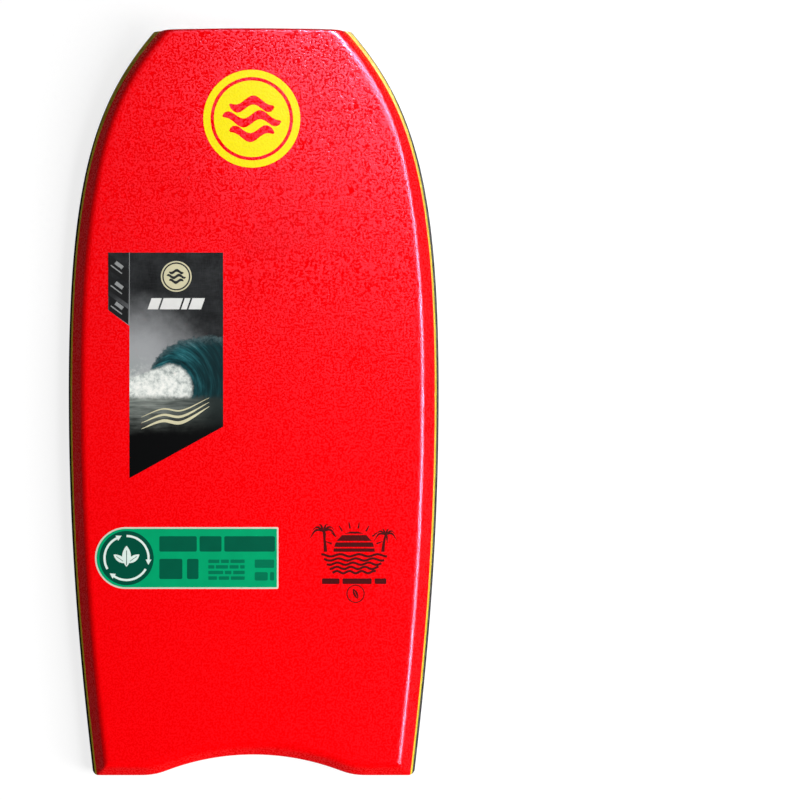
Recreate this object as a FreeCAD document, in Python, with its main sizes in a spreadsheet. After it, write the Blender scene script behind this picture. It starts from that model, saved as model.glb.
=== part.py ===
import FreeCAD, Part

import math
import os

import Sketcher
from FreeCAD import Placement, Rotation, Vector

# A bodyboard lying on its slick, deck up. +Y points at the nose and +X to the rider's right.
# The origin is under the middle of the board's box, on the surface it lies on.
# Nested side forms, ceilings, floors and end trims shape a blank, and the same tools then
# divide the blank into its laminated pieces, so that neighbours share their faces exactly.
# The tools are drawn with the slick's flat at height 0. The whole board is lifted by the
# thickness of the slick's label at the end.

SIZES = (
    # plan outline
    ("board_length", 1067, "nose to tail, 42 inches"),
    ("wide_half", 266.4, "half width at the wide point"),
    ("wide_from_tail", 552, "wide point, from the tail"),
    ("nose_half", 141, "half width at the nose edge"),
    ("nose_crown", 2.2, "how far the nose edge bows out"),
    ("nose_corner_radius", 12, "plan radius of a nose corner"),
    ("nose_corner_x", 135.5, "centre of a nose corner's arc"),
    ("tail_half", 231, "half width at the tail corners"),
    ("tail_corner_radius", 10, "plan radius of a tail corner"),
    ("tail_corner_x", 222.1, "centre of a tail corner's arc"),
    ("tail_handle_half", 253.4, "half width at the side curve's tail handle"),
    ("tail_handle_reach", 190, "that handle, from the tail"),
    ("wide_tail_reach", 200, "side curve's handle behind the wide point"),
    ("wide_nose_reach", 297, "side curve's handle ahead of the wide point"),
    ("nose_handle_half", 230.4, "half width at the side curve's nose handle"),
    ("nose_handle_reach", 103.6, "that handle, from the nose"),
    ("crescent_depth", 29.6, "depth of the crescent tail"),
    ("crescent_radius", 350, "radius of the crescent"),
    ("lobe_radius", 95, "radius that blends the crescent into a tail lobe"),
    # side profile
    ("board_thickness", 57, "slick to deck, 2 1/4 inches"),
    ("rise_from_tail", 650, "where the nose lift starts, from the tail"),
    ("rise_radius", 2730, "radius of the nose lift"),
    # rail section: n is measured in from the widest outline, z up from the slick
    ("rail_foot_n", 9.7, "black rail's lower outer corner"),
    ("rail_apex_z", 23, "lower end of the rail's upright face"),
    ("rail_top_n", 0.4, "upper end of the upright face, n"),
    ("rail_top_z", 29.5, "upper end of the upright face, z"),
    ("chine_foot_n", 6.4, "foot of the deck's side bevel, n"),
    ("chine_foot_z", 35, "foot of the deck's side bevel, z"),
    ("chine_ridge_n", 22.4, "ridge where the side bevel meets the deck"),
    ("seam_low_n", 16.6, "black and yellow seam on the slick side"),
    ("seam_high_n", 5.2, "black and yellow seam where it steepens, n"),
    ("seam_high_z", 25, "black and yellow seam where it steepens, z"),
    ("seam_top_n", 3.2, "black and yellow seam on the rail's outside, n"),
    ("seam_top_z", 32, "black and yellow seam on the rail's outside, z"),
    ("yellow_low_width", 7.4, "yellow rail's width on the slick side"),
    ("yellow_step_z", 26, "where the yellow rail's back turns upright"),
    ("yellow_land", 6, "yellow rail's face under the deck skin's edge"),
    ("skin_lap", 0.8, "how far the deck skin laps past the bevel's foot"),
    ("nose_taper_from_tail", 800, "where the rails start to thin, from the tail"),
    ("nose_black_share", 0.3, "share of the black rail's width left at the nose"),
    ("nose_chine_share", 0.65, "share of the side bevel's run left at the nose"),
    # laminated layers
    ("skin_thickness", 5, "deck skin"),
    ("slick_thickness", 1.5, "slick"),
    ("mesh_thickness", 0.6, "mesh between slick and core"),
    ("tail_strip_thickness", 4, "foam strip along the tail"),
    ("nose_strip_thickness", 3, "foam strip across the nose"),
    ("tail_bevel_run", 16, "tail bevel, plan width"),
    # tail channels, each a wedge that runs out towards the nose
    ("channel_depth", 8.5, "depth just past the tail edge"),
    ("channel_inner_x", 133, "inner foot just past the tail edge"),
    ("channel_outer_x", 203.5, "outer foot just past the tail edge"),
    ("channel_length", 250, "tail edge to the point where it runs out"),
    ("channel_tip_inner_x", 197, "inner foot at the front end"),
    ("channel_tip_outer_x", 213, "outer foot at the front end"),
    ("channel_inner_run", 12, "inner wall, plan width at full depth"),
    ("channel_outer_run", 4, "outer wall, plan width at full depth"),
    # stringer
    ("stringer_diameter", 12, "tube outside"),
    ("stringer_wall", 1, "tube wall"),
    ("stringer_length", 700, "over its end plugs"),
    ("stringer_height", 25, "axis above the slick"),
    ("plug_head", 4, "length of an end plug's head"),
    ("plug_stem", 15, "length of an end plug's stem"),
    # labels
    ("label_thickness", 0.2, "each of the three labels"),
    ("deck_label_left", -176.2, "main panel's left edge"),
    ("deck_label_right", -42.2, "main panel's right edge"),
    ("deck_label_top", 749.6, "top edge, from the tail"),
    ("deck_label_right_foot", 501, "lower right corner, from the tail"),
    ("deck_label_left_foot", 427.3, "lower left corner, from the tail"),
    ("deck_tab_left", -206.6, "side tab's left edge"),
    ("deck_tab_foot", 667.7, "side tab's lower left corner, from the tail"),
    ("deck_tab_end", 644.7, "where the side tab ends on the panel, from the tail"),
    ("sticker_left", -225.5, "green sticker's round left end"),
    ("sticker_right", 36.8, "green sticker's right edge"),
    ("sticker_foot", 269, "green sticker's lower edge, from the tail"),
    ("sticker_height", 88.3, "green sticker's height"),
    ("sticker_corner_radius", 2, "green sticker's right corners"),
    ("slick_label_left", -200.5, "slick label's edge on the rider's left"),
    ("slick_label_width", 359, "slick label's width"),
    ("slick_label_foot", 314.4, "slick label's lower edge, from the tail"),
    ("slick_label_height", 560, "slick label's height"),
)

# The shaping tools run past the board, to these limits.
FAR_X = 300
FAR_Y = 600
LOW_Z = -12
HIGH_Z = 75
OVERRUN = 25
REACH = 45
NOSE_RUNOUT_Y = 390
TAIL_RUNOUT_Y = -230

# A channel's roof sinks this far through the slick at its front end, so it runs out to nothing.
TIP_DEPTH = "-0.5"

# Rough directions the end corners' arcs start from; the sketches' tangents settle them.
TAIL_SIDE_DEG = 347
NOSE_SIDE_DEG = 48
NOSE_DEG = 88

TAIL_STATIONS = 6
NOSE_STATIONS = 8

ORIGIN = (-1, 1)
START, END, CENTRE = 1, 2, 3
Y_AXIS = -2

doc = FreeCAD.newDocument("bodyboard")
sheet = doc.addObject("Spreadsheet::Sheet", "Sizes")
for row, (alias, value, meaning) in enumerate(SIZES, start=1):
    sheet.set(f"A{row}", meaning)
    sheet.set(f"B{row}", str(value))
    sheet.setAlias(f"B{row}", alias)
doc.recompute()


def size(alias):
    """A driving dimension, in millimetres."""
    return float(sheet.get(alias))


TAIL_Y = -size("board_length") / 2
NOSE_Y = size("board_length") / 2
NOSE_RADIUS = (size("nose_half") ** 2 + size("nose_crown") ** 2) / (2 * size("nose_crown"))
NOSE_RADIUS_RULE = "(Sizes.nose_half^2 + Sizes.nose_crown^2) / (2 * Sizes.nose_crown)"
RISE_Y_RULE = "Sizes.rise_from_tail - Sizes.board_length / 2"
BEVEL_RISE_RULE = "(Sizes.board_thickness - Sizes.chine_foot_z)"
INNER_BEVEL_RULE = ("Sizes.chine_foot_z - Sizes.skin_thickness / Sizes.tail_bevel_run"
                    f" * sqrt(Sizes.tail_bevel_run^2 + {BEVEL_RISE_RULE}^2)")


# ------------------------------------------------------------------ sketch helpers

def new_body(name):
    body = doc.addObject("PartDesign::Body", name)
    body.Label = name
    return body


def new_sketch(body, role, height=None):
    """A sketch on one of the body's origin planes, raised by an expression if one is given."""
    plane = next(f for f in body.Origin.OriginFeatures if f.Role == role)
    sketch = body.newObject("Sketcher::SketchObject", body.Name + "_sketch")
    sketch.AttachmentSupport = [(plane, "")]
    sketch.MapMode = "FlatFace"
    if height:
        sketch.setExpression("AttachmentOffset.Base.z", height)
    return sketch


def bind(sketch, constraint, rule):
    index = sketch.addConstraint(constraint)
    sketch.setExpression(f"Constraints[{index}]", rule)


def pin(sketch, geometry, vertex, x_rule=None, y_rule=None):
    """Holds a vertex at the x and y that the rules give."""
    point = sketch.getPoint(geometry, vertex)
    if x_rule:
        bind(sketch, Sketcher.Constraint("DistanceX", *ORIGIN, geometry, vertex, point.x), x_rule)
    if y_rule:
        bind(sketch, Sketcher.Constraint("DistanceY", *ORIGIN, geometry, vertex, point.y), y_rule)


def set_radius(sketch, arc, rule):
    bind(sketch, Sketcher.Constraint("Radius", arc, sketch.Geometry[arc].Radius), rule)


def join(sketch, first, second, kind="Coincident"):
    """The end of the first edge meets the start of the second, smoothly if kind is Tangent."""
    sketch.addConstraint(Sketcher.Constraint(kind, first, END, second, START))


def add_line(sketch, start, end):
    return sketch.addGeometry(Part.LineSegment(Vector(*start, 0), Vector(*end, 0)), False)


def add_arc(sketch, centre, radius, start_deg, end_deg):
    """An arc that runs anticlockwise from start to end."""
    circle = Part.Circle(Vector(*centre, 0), Vector(0, 0, 1), radius)
    arc = Part.ArcOfCircle(circle, math.radians(start_deg), math.radians(end_deg))
    return sketch.addGeometry(arc, False)


def polygon(sketch, rules):
    """A closed outline with a corner at each pair of rules."""
    count = len(rules)
    spots = [(math.cos(2 * math.pi * i / count), math.sin(2 * math.pi * i / count))
             for i in range(count)]
    lines = [add_line(sketch, spots[i], spots[(i + 1) % count]) for i in range(count)]
    for i, line in enumerate(lines):
        join(sketch, line, lines[(i + 1) % count])
    for line, (x_rule, y_rule) in zip(lines, rules):
        pin(sketch, line, START, x_rule, y_rule)


def sheet_value(rule):
    """The value of a rule that is a plain number or one alias."""
    name = rule.removeprefix("Sizes.")
    return size(name) if name != rule else float(rule)


def mirror_across_middle(body, feature):
    """Adds the other half of a feature drawn on the rider's right."""
    doc.recompute()
    mirrored = body.newObject("PartDesign::Mirrored", body.Name + "_other_half")
    mirrored.Originals = [feature]
    mirrored.MirrorPlane = (next(f for f in body.Origin.OriginFeatures if f.Role == "YZ_Plane"), [""])
    body.Tip = mirrored


def from_tail(rule):
    return f"{rule} - Sizes.board_length / 2"


# ------------------------------------------------------------------ side forms

def side_curves():
    """The outline's right side as two curves that meet at the wide point: tail part, nose part."""
    wide = Vector(size("wide_half"), TAIL_Y + size("wide_from_tail"), 0)
    tail = Part.BezierCurve()
    tail.setPoles([
        Vector(size("tail_half"), TAIL_Y, 0),
        Vector(size("tail_handle_half"), TAIL_Y + size("tail_handle_reach"), 0),
        wide - Vector(0, size("wide_tail_reach"), 0),
        wide,
    ])
    nose = Part.BezierCurve()
    nose.setPoles([
        wide,
        wide + Vector(0, size("wide_nose_reach"), 0),
        Vector(size("nose_handle_half"), NOSE_Y - size("nose_handle_reach"), 0),
        Vector(size("nose_half"), NOSE_Y - size("nose_crown"), 0),
    ])
    return tail, nose


def side_stations():
    """Pairs of a point on the outline's right side and the side's direction there, tail to nose."""
    tail, nose = side_curves()
    spots = [(tail.value(i / TAIL_STATIONS), tail.tangent(i / TAIL_STATIONS)[0])
             for i in range(TAIL_STATIONS)]
    spots += [(nose.value(i / NOSE_STATIONS), nose.tangent(i / NOSE_STATIONS)[0])
              for i in range(NOSE_STATIONS + 1)]
    first, tail_way = spots[0]
    last, nose_way = spots[-1]
    before = (first - tail_way * OVERRUN, tail_way)
    after = (last + nose_way * OVERRUN, nose_way)
    return [before, *spots, after]


def lift(y):
    """Height of the slick's surface above its flat, where the nose lifts."""
    run = max(0, y - TAIL_Y - size("rise_from_tail"))
    return size("rise_radius") - math.sqrt(size("rise_radius") ** 2 - run ** 2)


def nose_share(y, share_at_nose):
    """1 along most of the board, easing down to the given share at the nose."""
    start = TAIL_Y + size("nose_taper_from_tail")
    t = min(1, max(0, (y - start) / (NOSE_Y - start)))
    return 1 - (1 - share_at_nose) * t * t * (3 - 2 * t)


def along(a, b, z):
    """n where the line through (n, z) points a and b reaches height z."""
    return a[0] + (b[0] - a[0]) * (z - a[1]) / (b[1] - a[1])


def rail_marks(y):
    """The named corners of the rail's section at y, as (n, z)."""
    black = nose_share(y, size("nose_black_share"))
    chine = nose_share(y, size("nose_chine_share"))
    marks = {
        "foot": (size("rail_foot_n") * black, 0),
        "apex": (0, size("rail_apex_z")),
        "top": (size("rail_top_n"), size("rail_top_z")),
        "chine": (size("chine_foot_n"), size("chine_foot_z")),
        "ridge": (size("chine_ridge_n") * chine, size("board_thickness")),
        "seam_low": (size("seam_low_n") * black, 0),
        "seam_high": (size("seam_high_n") * black, size("seam_high_z")),
        "seam_top": (size("seam_top_n") * black, size("seam_top_z")),
        "yellow_low": (size("seam_low_n") * black + size("yellow_low_width"), 0),
    }
    # unit steps up the side bevel and square to it, into the board
    run = marks["ridge"][0] - marks["chine"][0]
    rise = marks["ridge"][1] - marks["chine"][1]
    slope = math.hypot(run, rise)
    inward = (rise / slope, -run / slope)
    # the deck skin's edge lies on the yellow rail's land, a little below the bevel's foot
    facet_run = marks["chine"][0] - marks["top"][0]
    facet_rise = marks["chine"][1] - marks["top"][1]
    facet = math.hypot(facet_run, facet_rise)
    lap = size("skin_lap")
    edge = (marks["chine"][0] - lap * facet_run / facet, marks["chine"][1] - lap * facet_rise / facet)
    land = size("yellow_land")
    marks["skin_edge"] = edge
    marks["land"] = (edge[0] + inward[0] * land, edge[1] + inward[1] * land)
    skin = size("skin_thickness")
    marks["under_chine"] = tuple(marks["chine"][i] + inward[i] * skin for i in (0, 1))
    marks["under_ridge"] = tuple(marks["ridge"][i] + inward[i] * skin for i in (0, 1))
    return marks


def outer_section(m):
    return [
        (along(m["foot"], m["apex"], LOW_Z), LOW_Z),
        m["apex"],
        m["top"],
        m["chine"],
        (along(m["chine"], m["ridge"], HIGH_Z), HIGH_Z),
    ]


def seam_section(m):
    """Between the black rail and the yellow one. It leaves the board above their seam."""
    return [
        (along(m["seam_low"], m["seam_high"], LOW_Z), LOW_Z),
        m["seam_high"],
        (along(m["seam_high"], m["seam_top"], HIGH_Z), HIGH_Z),
    ]


def land_section(m):
    """Between the yellow rail and the foam. It leaves the board under the deck skin's edge."""
    step = (m["land"][0], size("yellow_step_z"))
    return [
        (along(m["yellow_low"], step, LOW_Z), LOW_Z),
        step,
        m["land"],
        (along(m["land"], m["skin_edge"], HIGH_Z), HIGH_Z),
    ]


def under_skin_section(m):
    """The inside of the deck skin's side bevel, carried on past both ends."""
    foot, ridge = m["under_chine"], m["under_ridge"]
    return [(along(foot, ridge, LOW_Z), LOW_Z), (along(foot, ridge, HIGH_Z), HIGH_Z)]


def side_form(name, section):
    """A solid as long as the board whose sides follow one section all the way round the outline."""
    wires = []
    for point, way in side_stations():
        spread = math.hypot(way.x, way.y) / way.y
        right = [(point.x - n * spread, z + lift(point.y)) for n, z in section(rail_marks(point.y))]
        left = [(-x, z) for x, z in reversed(right)]
        corners = [Vector(x, point.y, z) for x, z in right + left]
        wires.append(Part.makePolygon(corners + corners[:1]))
    form = doc.addObject("Part::Feature", name)
    form.Shape = Part.makeLoft(wires, True, False)
    return form


outer_form = side_form("outer_form", outer_section)
seam_form = side_form("seam_form", seam_section)
land_form = side_form("land_form", land_section)
under_skin_form = side_form("under_skin_form", under_skin_section)


# ------------------------------------------------------------------ floors and ceilings

def profile_pad(body, level):
    """Everything below a surface at the given level that follows the board's side profile."""
    sketch = new_sketch(body, "YZ_Plane")
    radius = size("rise_radius")
    rise_y = TAIL_Y + size("rise_from_tail")
    turn = math.degrees(math.asin((FAR_Y - rise_y) / radius))
    flat = add_line(sketch, (-FAR_Y, 0), (rise_y, 0))
    curve = add_arc(sketch, (rise_y, radius), radius, -90, turn - 90)
    top = sketch.getPoint(curve, END)
    front = add_line(sketch, (FAR_Y, top.y), (FAR_Y, LOW_Z))
    under = add_line(sketch, (FAR_Y, LOW_Z), (-FAR_Y, LOW_Z))
    back = add_line(sketch, (-FAR_Y, LOW_Z), (-FAR_Y, 0))
    join(sketch, flat, curve, "Tangent")
    for first, second in ((curve, front), (front, under), (under, back), (back, flat)):
        join(sketch, first, second)
    pin(sketch, flat, START, str(-FAR_Y), level)
    pin(sketch, flat, END, RISE_Y_RULE, level)
    set_radius(sketch, curve, "Sizes.rise_radius")
    pin(sketch, curve, END, x_rule=str(FAR_Y))
    pin(sketch, under, START, str(FAR_Y), str(LOW_Z))
    pin(sketch, back, START, str(-FAR_Y), str(LOW_Z))
    pad = body.newObject("PartDesign::Pad", body.Name + "_pad")
    pad.Profile = sketch
    pad.SideType = "Symmetric"
    pad.Length = 2 * FAR_X
    return pad


def channel_end(body, level, y_rule, inner, outer, depth):
    """The channel's section across the board at one of its ends, seen towards the tail."""
    sketch = new_sketch(body, "XZ_Plane", y_rule)
    inner_run = "Sizes.channel_inner_run / Sizes.channel_depth"
    outer_run = "Sizes.channel_outer_run / Sizes.channel_depth"
    low = f"({LOW_Z} - ({level}))"
    polygon(sketch, [
        (f"{inner} + {low} * {inner_run}", str(LOW_Z)),
        (f"{outer} - {low} * {outer_run}", str(LOW_Z)),
        (f"{outer} - ({depth}) * {outer_run}", f"{level} + {depth}"),
        (f"{inner} + ({depth}) * {inner_run}", f"{level} + {depth}"),
    ])
    return sketch


def ceiling(name, level):
    body = new_body(name)
    profile_pad(body, level)
    return body


def slick_floor(name, level):
    """Everything below a layer's underside: the board's profile and the two tail channels."""
    body = new_body(name)
    profile_pad(body, level)
    tail_end = channel_end(body, level, f"Sizes.board_length / 2 + {OVERRUN}",
                           "Sizes.channel_inner_x", "Sizes.channel_outer_x", "Sizes.channel_depth")
    front_end = channel_end(body, level, "Sizes.board_length / 2 - Sizes.channel_length",
                            "Sizes.channel_tip_inner_x", "Sizes.channel_tip_outer_x", TIP_DEPTH)
    doc.recompute()
    channel = body.newObject("PartDesign::AdditiveLoft", name + "_channel")
    channel.Profile = tail_end
    channel.Sections = [front_end]
    channel.Ruled = True
    mirror_across_middle(body, channel)
    return body


deck_top = ceiling("deck_top", "Sizes.board_thickness")
skin_underside = ceiling("skin_underside", "Sizes.board_thickness - Sizes.skin_thickness")
slick_bottom = slick_floor("slick_bottom", "0")
slick_top = slick_floor("slick_top", "Sizes.slick_thickness")
mesh_top = slick_floor("mesh_top", "Sizes.slick_thickness + Sizes.mesh_thickness")


# ------------------------------------------------------------------ end trims

def tail_curve(sketch, shift):
    """The right half of the tail edge, middle to lobe, moved towards the nose by a rule."""
    offset = sheet_value(shift)
    depth, radius, blend = size("crescent_depth"), size("crescent_radius"), size("lobe_radius")
    low = TAIL_Y + offset
    lobe_x = math.sqrt((radius + blend) ** 2 - (radius - depth + blend) ** 2)
    lean = math.degrees(math.asin(lobe_x / (radius + blend)))
    crescent = add_arc(sketch, (0, low + depth - radius), radius, 90 - lean, 90)
    turn = add_arc(sketch, (lobe_x, low + blend), blend, 270 - lean, 270)
    lobe = add_line(sketch, (lobe_x, low), (FAR_X, low))
    sketch.addConstraint(Sketcher.Constraint("PointOnObject", crescent, CENTRE, Y_AXIS))
    sketch.addConstraint(Sketcher.Constraint("PointOnObject", crescent, END, Y_AXIS))
    sketch.addConstraint(Sketcher.Constraint("Tangent", crescent, START, turn, START))
    join(sketch, turn, lobe, "Tangent")
    sketch.addConstraint(Sketcher.Constraint("Horizontal", lobe))
    set_radius(sketch, crescent, "Sizes.crescent_radius")
    set_radius(sketch, turn, "Sizes.lobe_radius")
    pin(sketch, crescent, END, y_rule=f"Sizes.crescent_depth - Sizes.board_length / 2 + {shift}")
    pin(sketch, lobe, START, y_rule=f"{shift} - Sizes.board_length / 2")
    return crescent, turn, lobe


def rounded_corner(sketch, centre, radius, start_deg, end_deg, x_rule, radius_rule):
    corner = add_arc(sketch, centre, radius, start_deg, end_deg)
    pin(sketch, corner, CENTRE, x_rule=x_rule)
    set_radius(sketch, corner, radius_rule)
    return corner


def outline_trim(name, tail_shift, nose_shift):
    """An upright prism that cuts the board's two ends to their plan shape."""
    body = new_body(name)
    sketch = new_sketch(body, "XY_Plane", str(LOW_Z))
    crescent, turn, lobe = tail_curve(sketch, tail_shift)
    low = TAIL_Y + sheet_value(tail_shift)
    tail_x, tail_radius = size("tail_corner_x"), size("tail_corner_radius")
    tail_corner = rounded_corner(sketch, (tail_x, low + tail_radius), tail_radius, 270, TAIL_SIDE_DEG,
                                 "Sizes.tail_corner_x", "Sizes.tail_corner_radius")
    tail_side = add_line(sketch, (tail_x + tail_radius, low + tail_radius), (FAR_X, TAIL_RUNOUT_Y))
    side = add_line(sketch, (FAR_X, TAIL_RUNOUT_Y), (FAR_X, NOSE_RUNOUT_Y))
    nose_x, nose_radius = size("nose_corner_x"), size("nose_corner_radius")
    high = NOSE_Y - sheet_value(nose_shift)
    nose_side = add_line(sketch, (FAR_X, NOSE_RUNOUT_Y), (nose_x + nose_radius, high - nose_radius))
    nose_corner = rounded_corner(sketch, (nose_x, high - nose_radius), nose_radius, NOSE_SIDE_DEG, NOSE_DEG,
                                 "Sizes.nose_corner_x", "Sizes.nose_corner_radius")
    nose = add_arc(sketch, (0, high - NOSE_RADIUS), NOSE_RADIUS, NOSE_DEG, 90)
    middle = add_line(sketch, (0, high), (0, low + size("crescent_depth")))
    for first, second in ((lobe, tail_corner), (tail_corner, tail_side),
                          (nose_side, nose_corner), (nose_corner, nose)):
        join(sketch, first, second, "Tangent")
    join(sketch, tail_side, side)
    join(sketch, side, nose_side)
    join(sketch, nose, middle)
    sketch.addConstraint(Sketcher.Constraint("Coincident", middle, END, crescent, END))
    sketch.addConstraint(Sketcher.Constraint("PointOnObject", nose, CENTRE, Y_AXIS))
    sketch.addConstraint(Sketcher.Constraint("PointOnObject", nose, END, Y_AXIS))
    set_radius(sketch, nose, NOSE_RADIUS_RULE)
    pin(sketch, nose, END, y_rule=f"Sizes.board_length / 2 - {nose_shift}")
    pin(sketch, side, START, str(FAR_X), str(TAIL_RUNOUT_Y))
    pin(sketch, side, END, str(FAR_X), str(NOSE_RUNOUT_Y))
    pad = body.newObject("PartDesign::Pad", name + "_pad")
    pad.Profile = sketch
    pad.Length = 2 * HIGH_Z
    mirror_across_middle(body, pad)
    return body


def tail_bevel(name, level):
    """Everything behind the sloping face that rises from the tail edge, from a level upwards."""
    body = new_body(name)
    sketch = new_sketch(body, "XY_Plane", level)
    crescent, turn, lobe = tail_curve(sketch, "0")
    side = add_line(sketch, (FAR_X, TAIL_Y), (FAR_X, -FAR_Y))
    back = add_line(sketch, (FAR_X, -FAR_Y), (0, -FAR_Y))
    middle = add_line(sketch, (0, -FAR_Y), (0, TAIL_Y + size("crescent_depth")))
    for first, second in ((lobe, side), (side, back), (back, middle)):
        join(sketch, first, second)
    sketch.addConstraint(Sketcher.Constraint("Coincident", middle, END, crescent, END))
    pin(sketch, side, START, x_rule=str(FAR_X))
    pin(sketch, back, START, str(FAR_X), str(-FAR_Y))
    pin(sketch, middle, START, "0", str(-FAR_Y))
    pad = body.newObject("PartDesign::Pad", name + "_pad")
    pad.Profile = sketch
    pad.UseCustomVector = True
    pad.Direction = Vector(0, size("tail_bevel_run"), size("board_thickness") - size("chine_foot_z"))
    pad.AlongSketchNormal = True
    pad.Length = REACH
    mirror_across_middle(body, pad)
    return body


board_outline = outline_trim("board_outline", "0", "0")
inside_outline = outline_trim("inside_outline", "Sizes.tail_strip_thickness",
                              "Sizes.nose_strip_thickness")
outer_bevel = tail_bevel("outer_bevel", "Sizes.chine_foot_z")
inner_bevel = tail_bevel("inner_bevel", INNER_BEVEL_RULE)


# ------------------------------------------------------------------ solid helpers

def common(name, *shapes):
    piece = doc.addObject("Part::MultiCommon", name)
    piece.Shapes = list(shapes)
    return piece


def cut(name, base, tool):
    piece = doc.addObject("Part::Cut", name)
    piece.Base = base
    piece.Tool = tool
    return piece


def half_space(name, corner, lengths):
    box = doc.addObject("Part::Box", name)
    box.Length, box.Width, box.Height = lengths
    box.Placement = Placement(Vector(*corner), Rotation())
    return box


def rod(name, diameter, length, start_y):
    """A round bar on the stringer's axis, running towards the nose from start_y."""
    bar = doc.addObject("Part::Cylinder", name)
    bar.Placement = Placement(Vector(0, 0, 0), Rotation(Vector(1, 0, 0), -90))
    bar.setExpression("Radius", f"({diameter}) / 2")
    bar.setExpression("Height", length)
    bar.setExpression("Placement.Base.y", start_y)
    bar.setExpression("Placement.Base.z", "Sizes.stringer_height")
    return bar


# ------------------------------------------------------------------ blank and its division

right_half = half_space("right_half", (0, -FAR_Y, LOW_Z), (FAR_X, 2 * FAR_Y, 2 * HIGH_Z))
left_half = half_space("left_half", (-FAR_X, -FAR_Y, LOW_Z), (FAR_X, 2 * FAR_Y, 2 * HIGH_Z))
front_half = half_space("front_half", (-FAR_X, 0, LOW_Z), (2 * FAR_X, FAR_Y, 2 * HIGH_Z))
rear_half = half_space("rear_half", (-FAR_X, -FAR_Y, LOW_Z), (2 * FAR_X, FAR_Y, 2 * HIGH_Z))

rough_blank = common("rough_blank", outer_form, deck_top, board_outline)
flat_blank = cut("flat_blank", rough_blank, slick_bottom)
blank = cut("blank", flat_blank, outer_bevel)

black_pair = cut("black_pair", blank, seam_form)
inside_black = common("inside_black", blank, seam_form)
yellow_pair = cut("yellow_pair", inside_black, land_form)
foam = common("foam", inside_black, land_form)
outer_rails = [common("outer_rail_left", black_pair, left_half),
               common("outer_rail_right", black_pair, right_half)]
inner_rails = [common("inner_rail_left", yellow_pair, left_half),
               common("inner_rail_right", yellow_pair, right_half)]

under_skin = cut("under_skin", common("under_deck", under_skin_form, skin_underside), inner_bevel)
deck_skin = cut("deck_skin", foam, under_skin)
inner_block = common("inner_block", foam, under_skin)

end_strips = cut("end_strips", inner_block, inside_outline)
nose_strip = common("nose_strip", end_strips, front_half)
tail_strip = common("tail_strip", end_strips, rear_half)

laminate = common("laminate", inner_block, inside_outline)
slick = common("slick", laminate, slick_top)
slick_mesh = cut("slick_mesh", common("mesh_and_slick", laminate, mesh_top), slick_top)


# ------------------------------------------------------------------ core and stringer

CORE_TAIL_RULE = "Sizes.crescent_depth + Sizes.tail_strip_thickness - Sizes.board_length / 2"
TUBE_START_RULE = f"{CORE_TAIL_RULE} + Sizes.plug_head"
TUBE_LENGTH_RULE = "Sizes.stringer_length - 2 * Sizes.plug_head"
BORE_RULE = "Sizes.stringer_diameter - 2 * Sizes.stringer_wall"

stringer_bore = rod("stringer_bore", "Sizes.stringer_diameter",
                    f"Sizes.stringer_length + {OVERRUN}", f"{CORE_TAIL_RULE} - {OVERRUN}")
core = cut("core", cut("core_block", laminate, mesh_top), stringer_bore)

stringer_tube = cut("stringer_tube",
                    rod("tube_outside", "Sizes.stringer_diameter", TUBE_LENGTH_RULE, TUBE_START_RULE),
                    rod("tube_inside", BORE_RULE, TUBE_LENGTH_RULE, TUBE_START_RULE))


def end_plug(name, head_start, stem_start):
    plug = doc.addObject("Part::Fuse", name)
    plug.Base = rod(name + "_head", "Sizes.stringer_diameter", "Sizes.plug_head", head_start)
    plug.Tool = rod(name + "_stem", BORE_RULE, "Sizes.plug_stem", stem_start)
    plug.Refine = True
    return plug


TUBE_END_RULE = f"{TUBE_START_RULE} + {TUBE_LENGTH_RULE}"
plug_rear = end_plug("stringer_plug_rear", CORE_TAIL_RULE, TUBE_START_RULE)
plug_front = end_plug("stringer_plug_front", TUBE_END_RULE, f"{TUBE_END_RULE} - Sizes.plug_stem")


# ------------------------------------------------------------------ labels

def label_prism(name, draw):
    """An upright prism on the label's outline, tall enough to cross the board."""
    body = new_body(name)
    sketch = new_sketch(body, "XY_Plane", str(LOW_Z))
    draw(sketch)
    pad = body.newObject("PartDesign::Pad", name + "_pad")
    pad.Profile = sketch
    pad.Length = 2 * HIGH_Z
    return body


def draw_deck_label(sketch):
    """A tall panel with a slanting foot and a tab at its upper left."""
    left, right = "Sizes.deck_label_left", "Sizes.deck_label_right"
    top = from_tail("Sizes.deck_label_top")
    polygon(sketch, [
        ("Sizes.deck_tab_left", top),
        ("Sizes.deck_tab_left", from_tail("Sizes.deck_tab_foot")),
        (left, from_tail("Sizes.deck_tab_end")),
        (left, from_tail("Sizes.deck_label_left_foot")),
        (right, from_tail("Sizes.deck_label_right_foot")),
        (right, top),
    ])


def draw_slick_label(sketch):
    left, foot = "Sizes.slick_label_left", from_tail("Sizes.slick_label_foot")
    right, top = f"{left} + Sizes.slick_label_width", f"{foot} + Sizes.slick_label_height"
    polygon(sketch, [(left, foot), (right, foot), (right, top), (left, top)])


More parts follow.
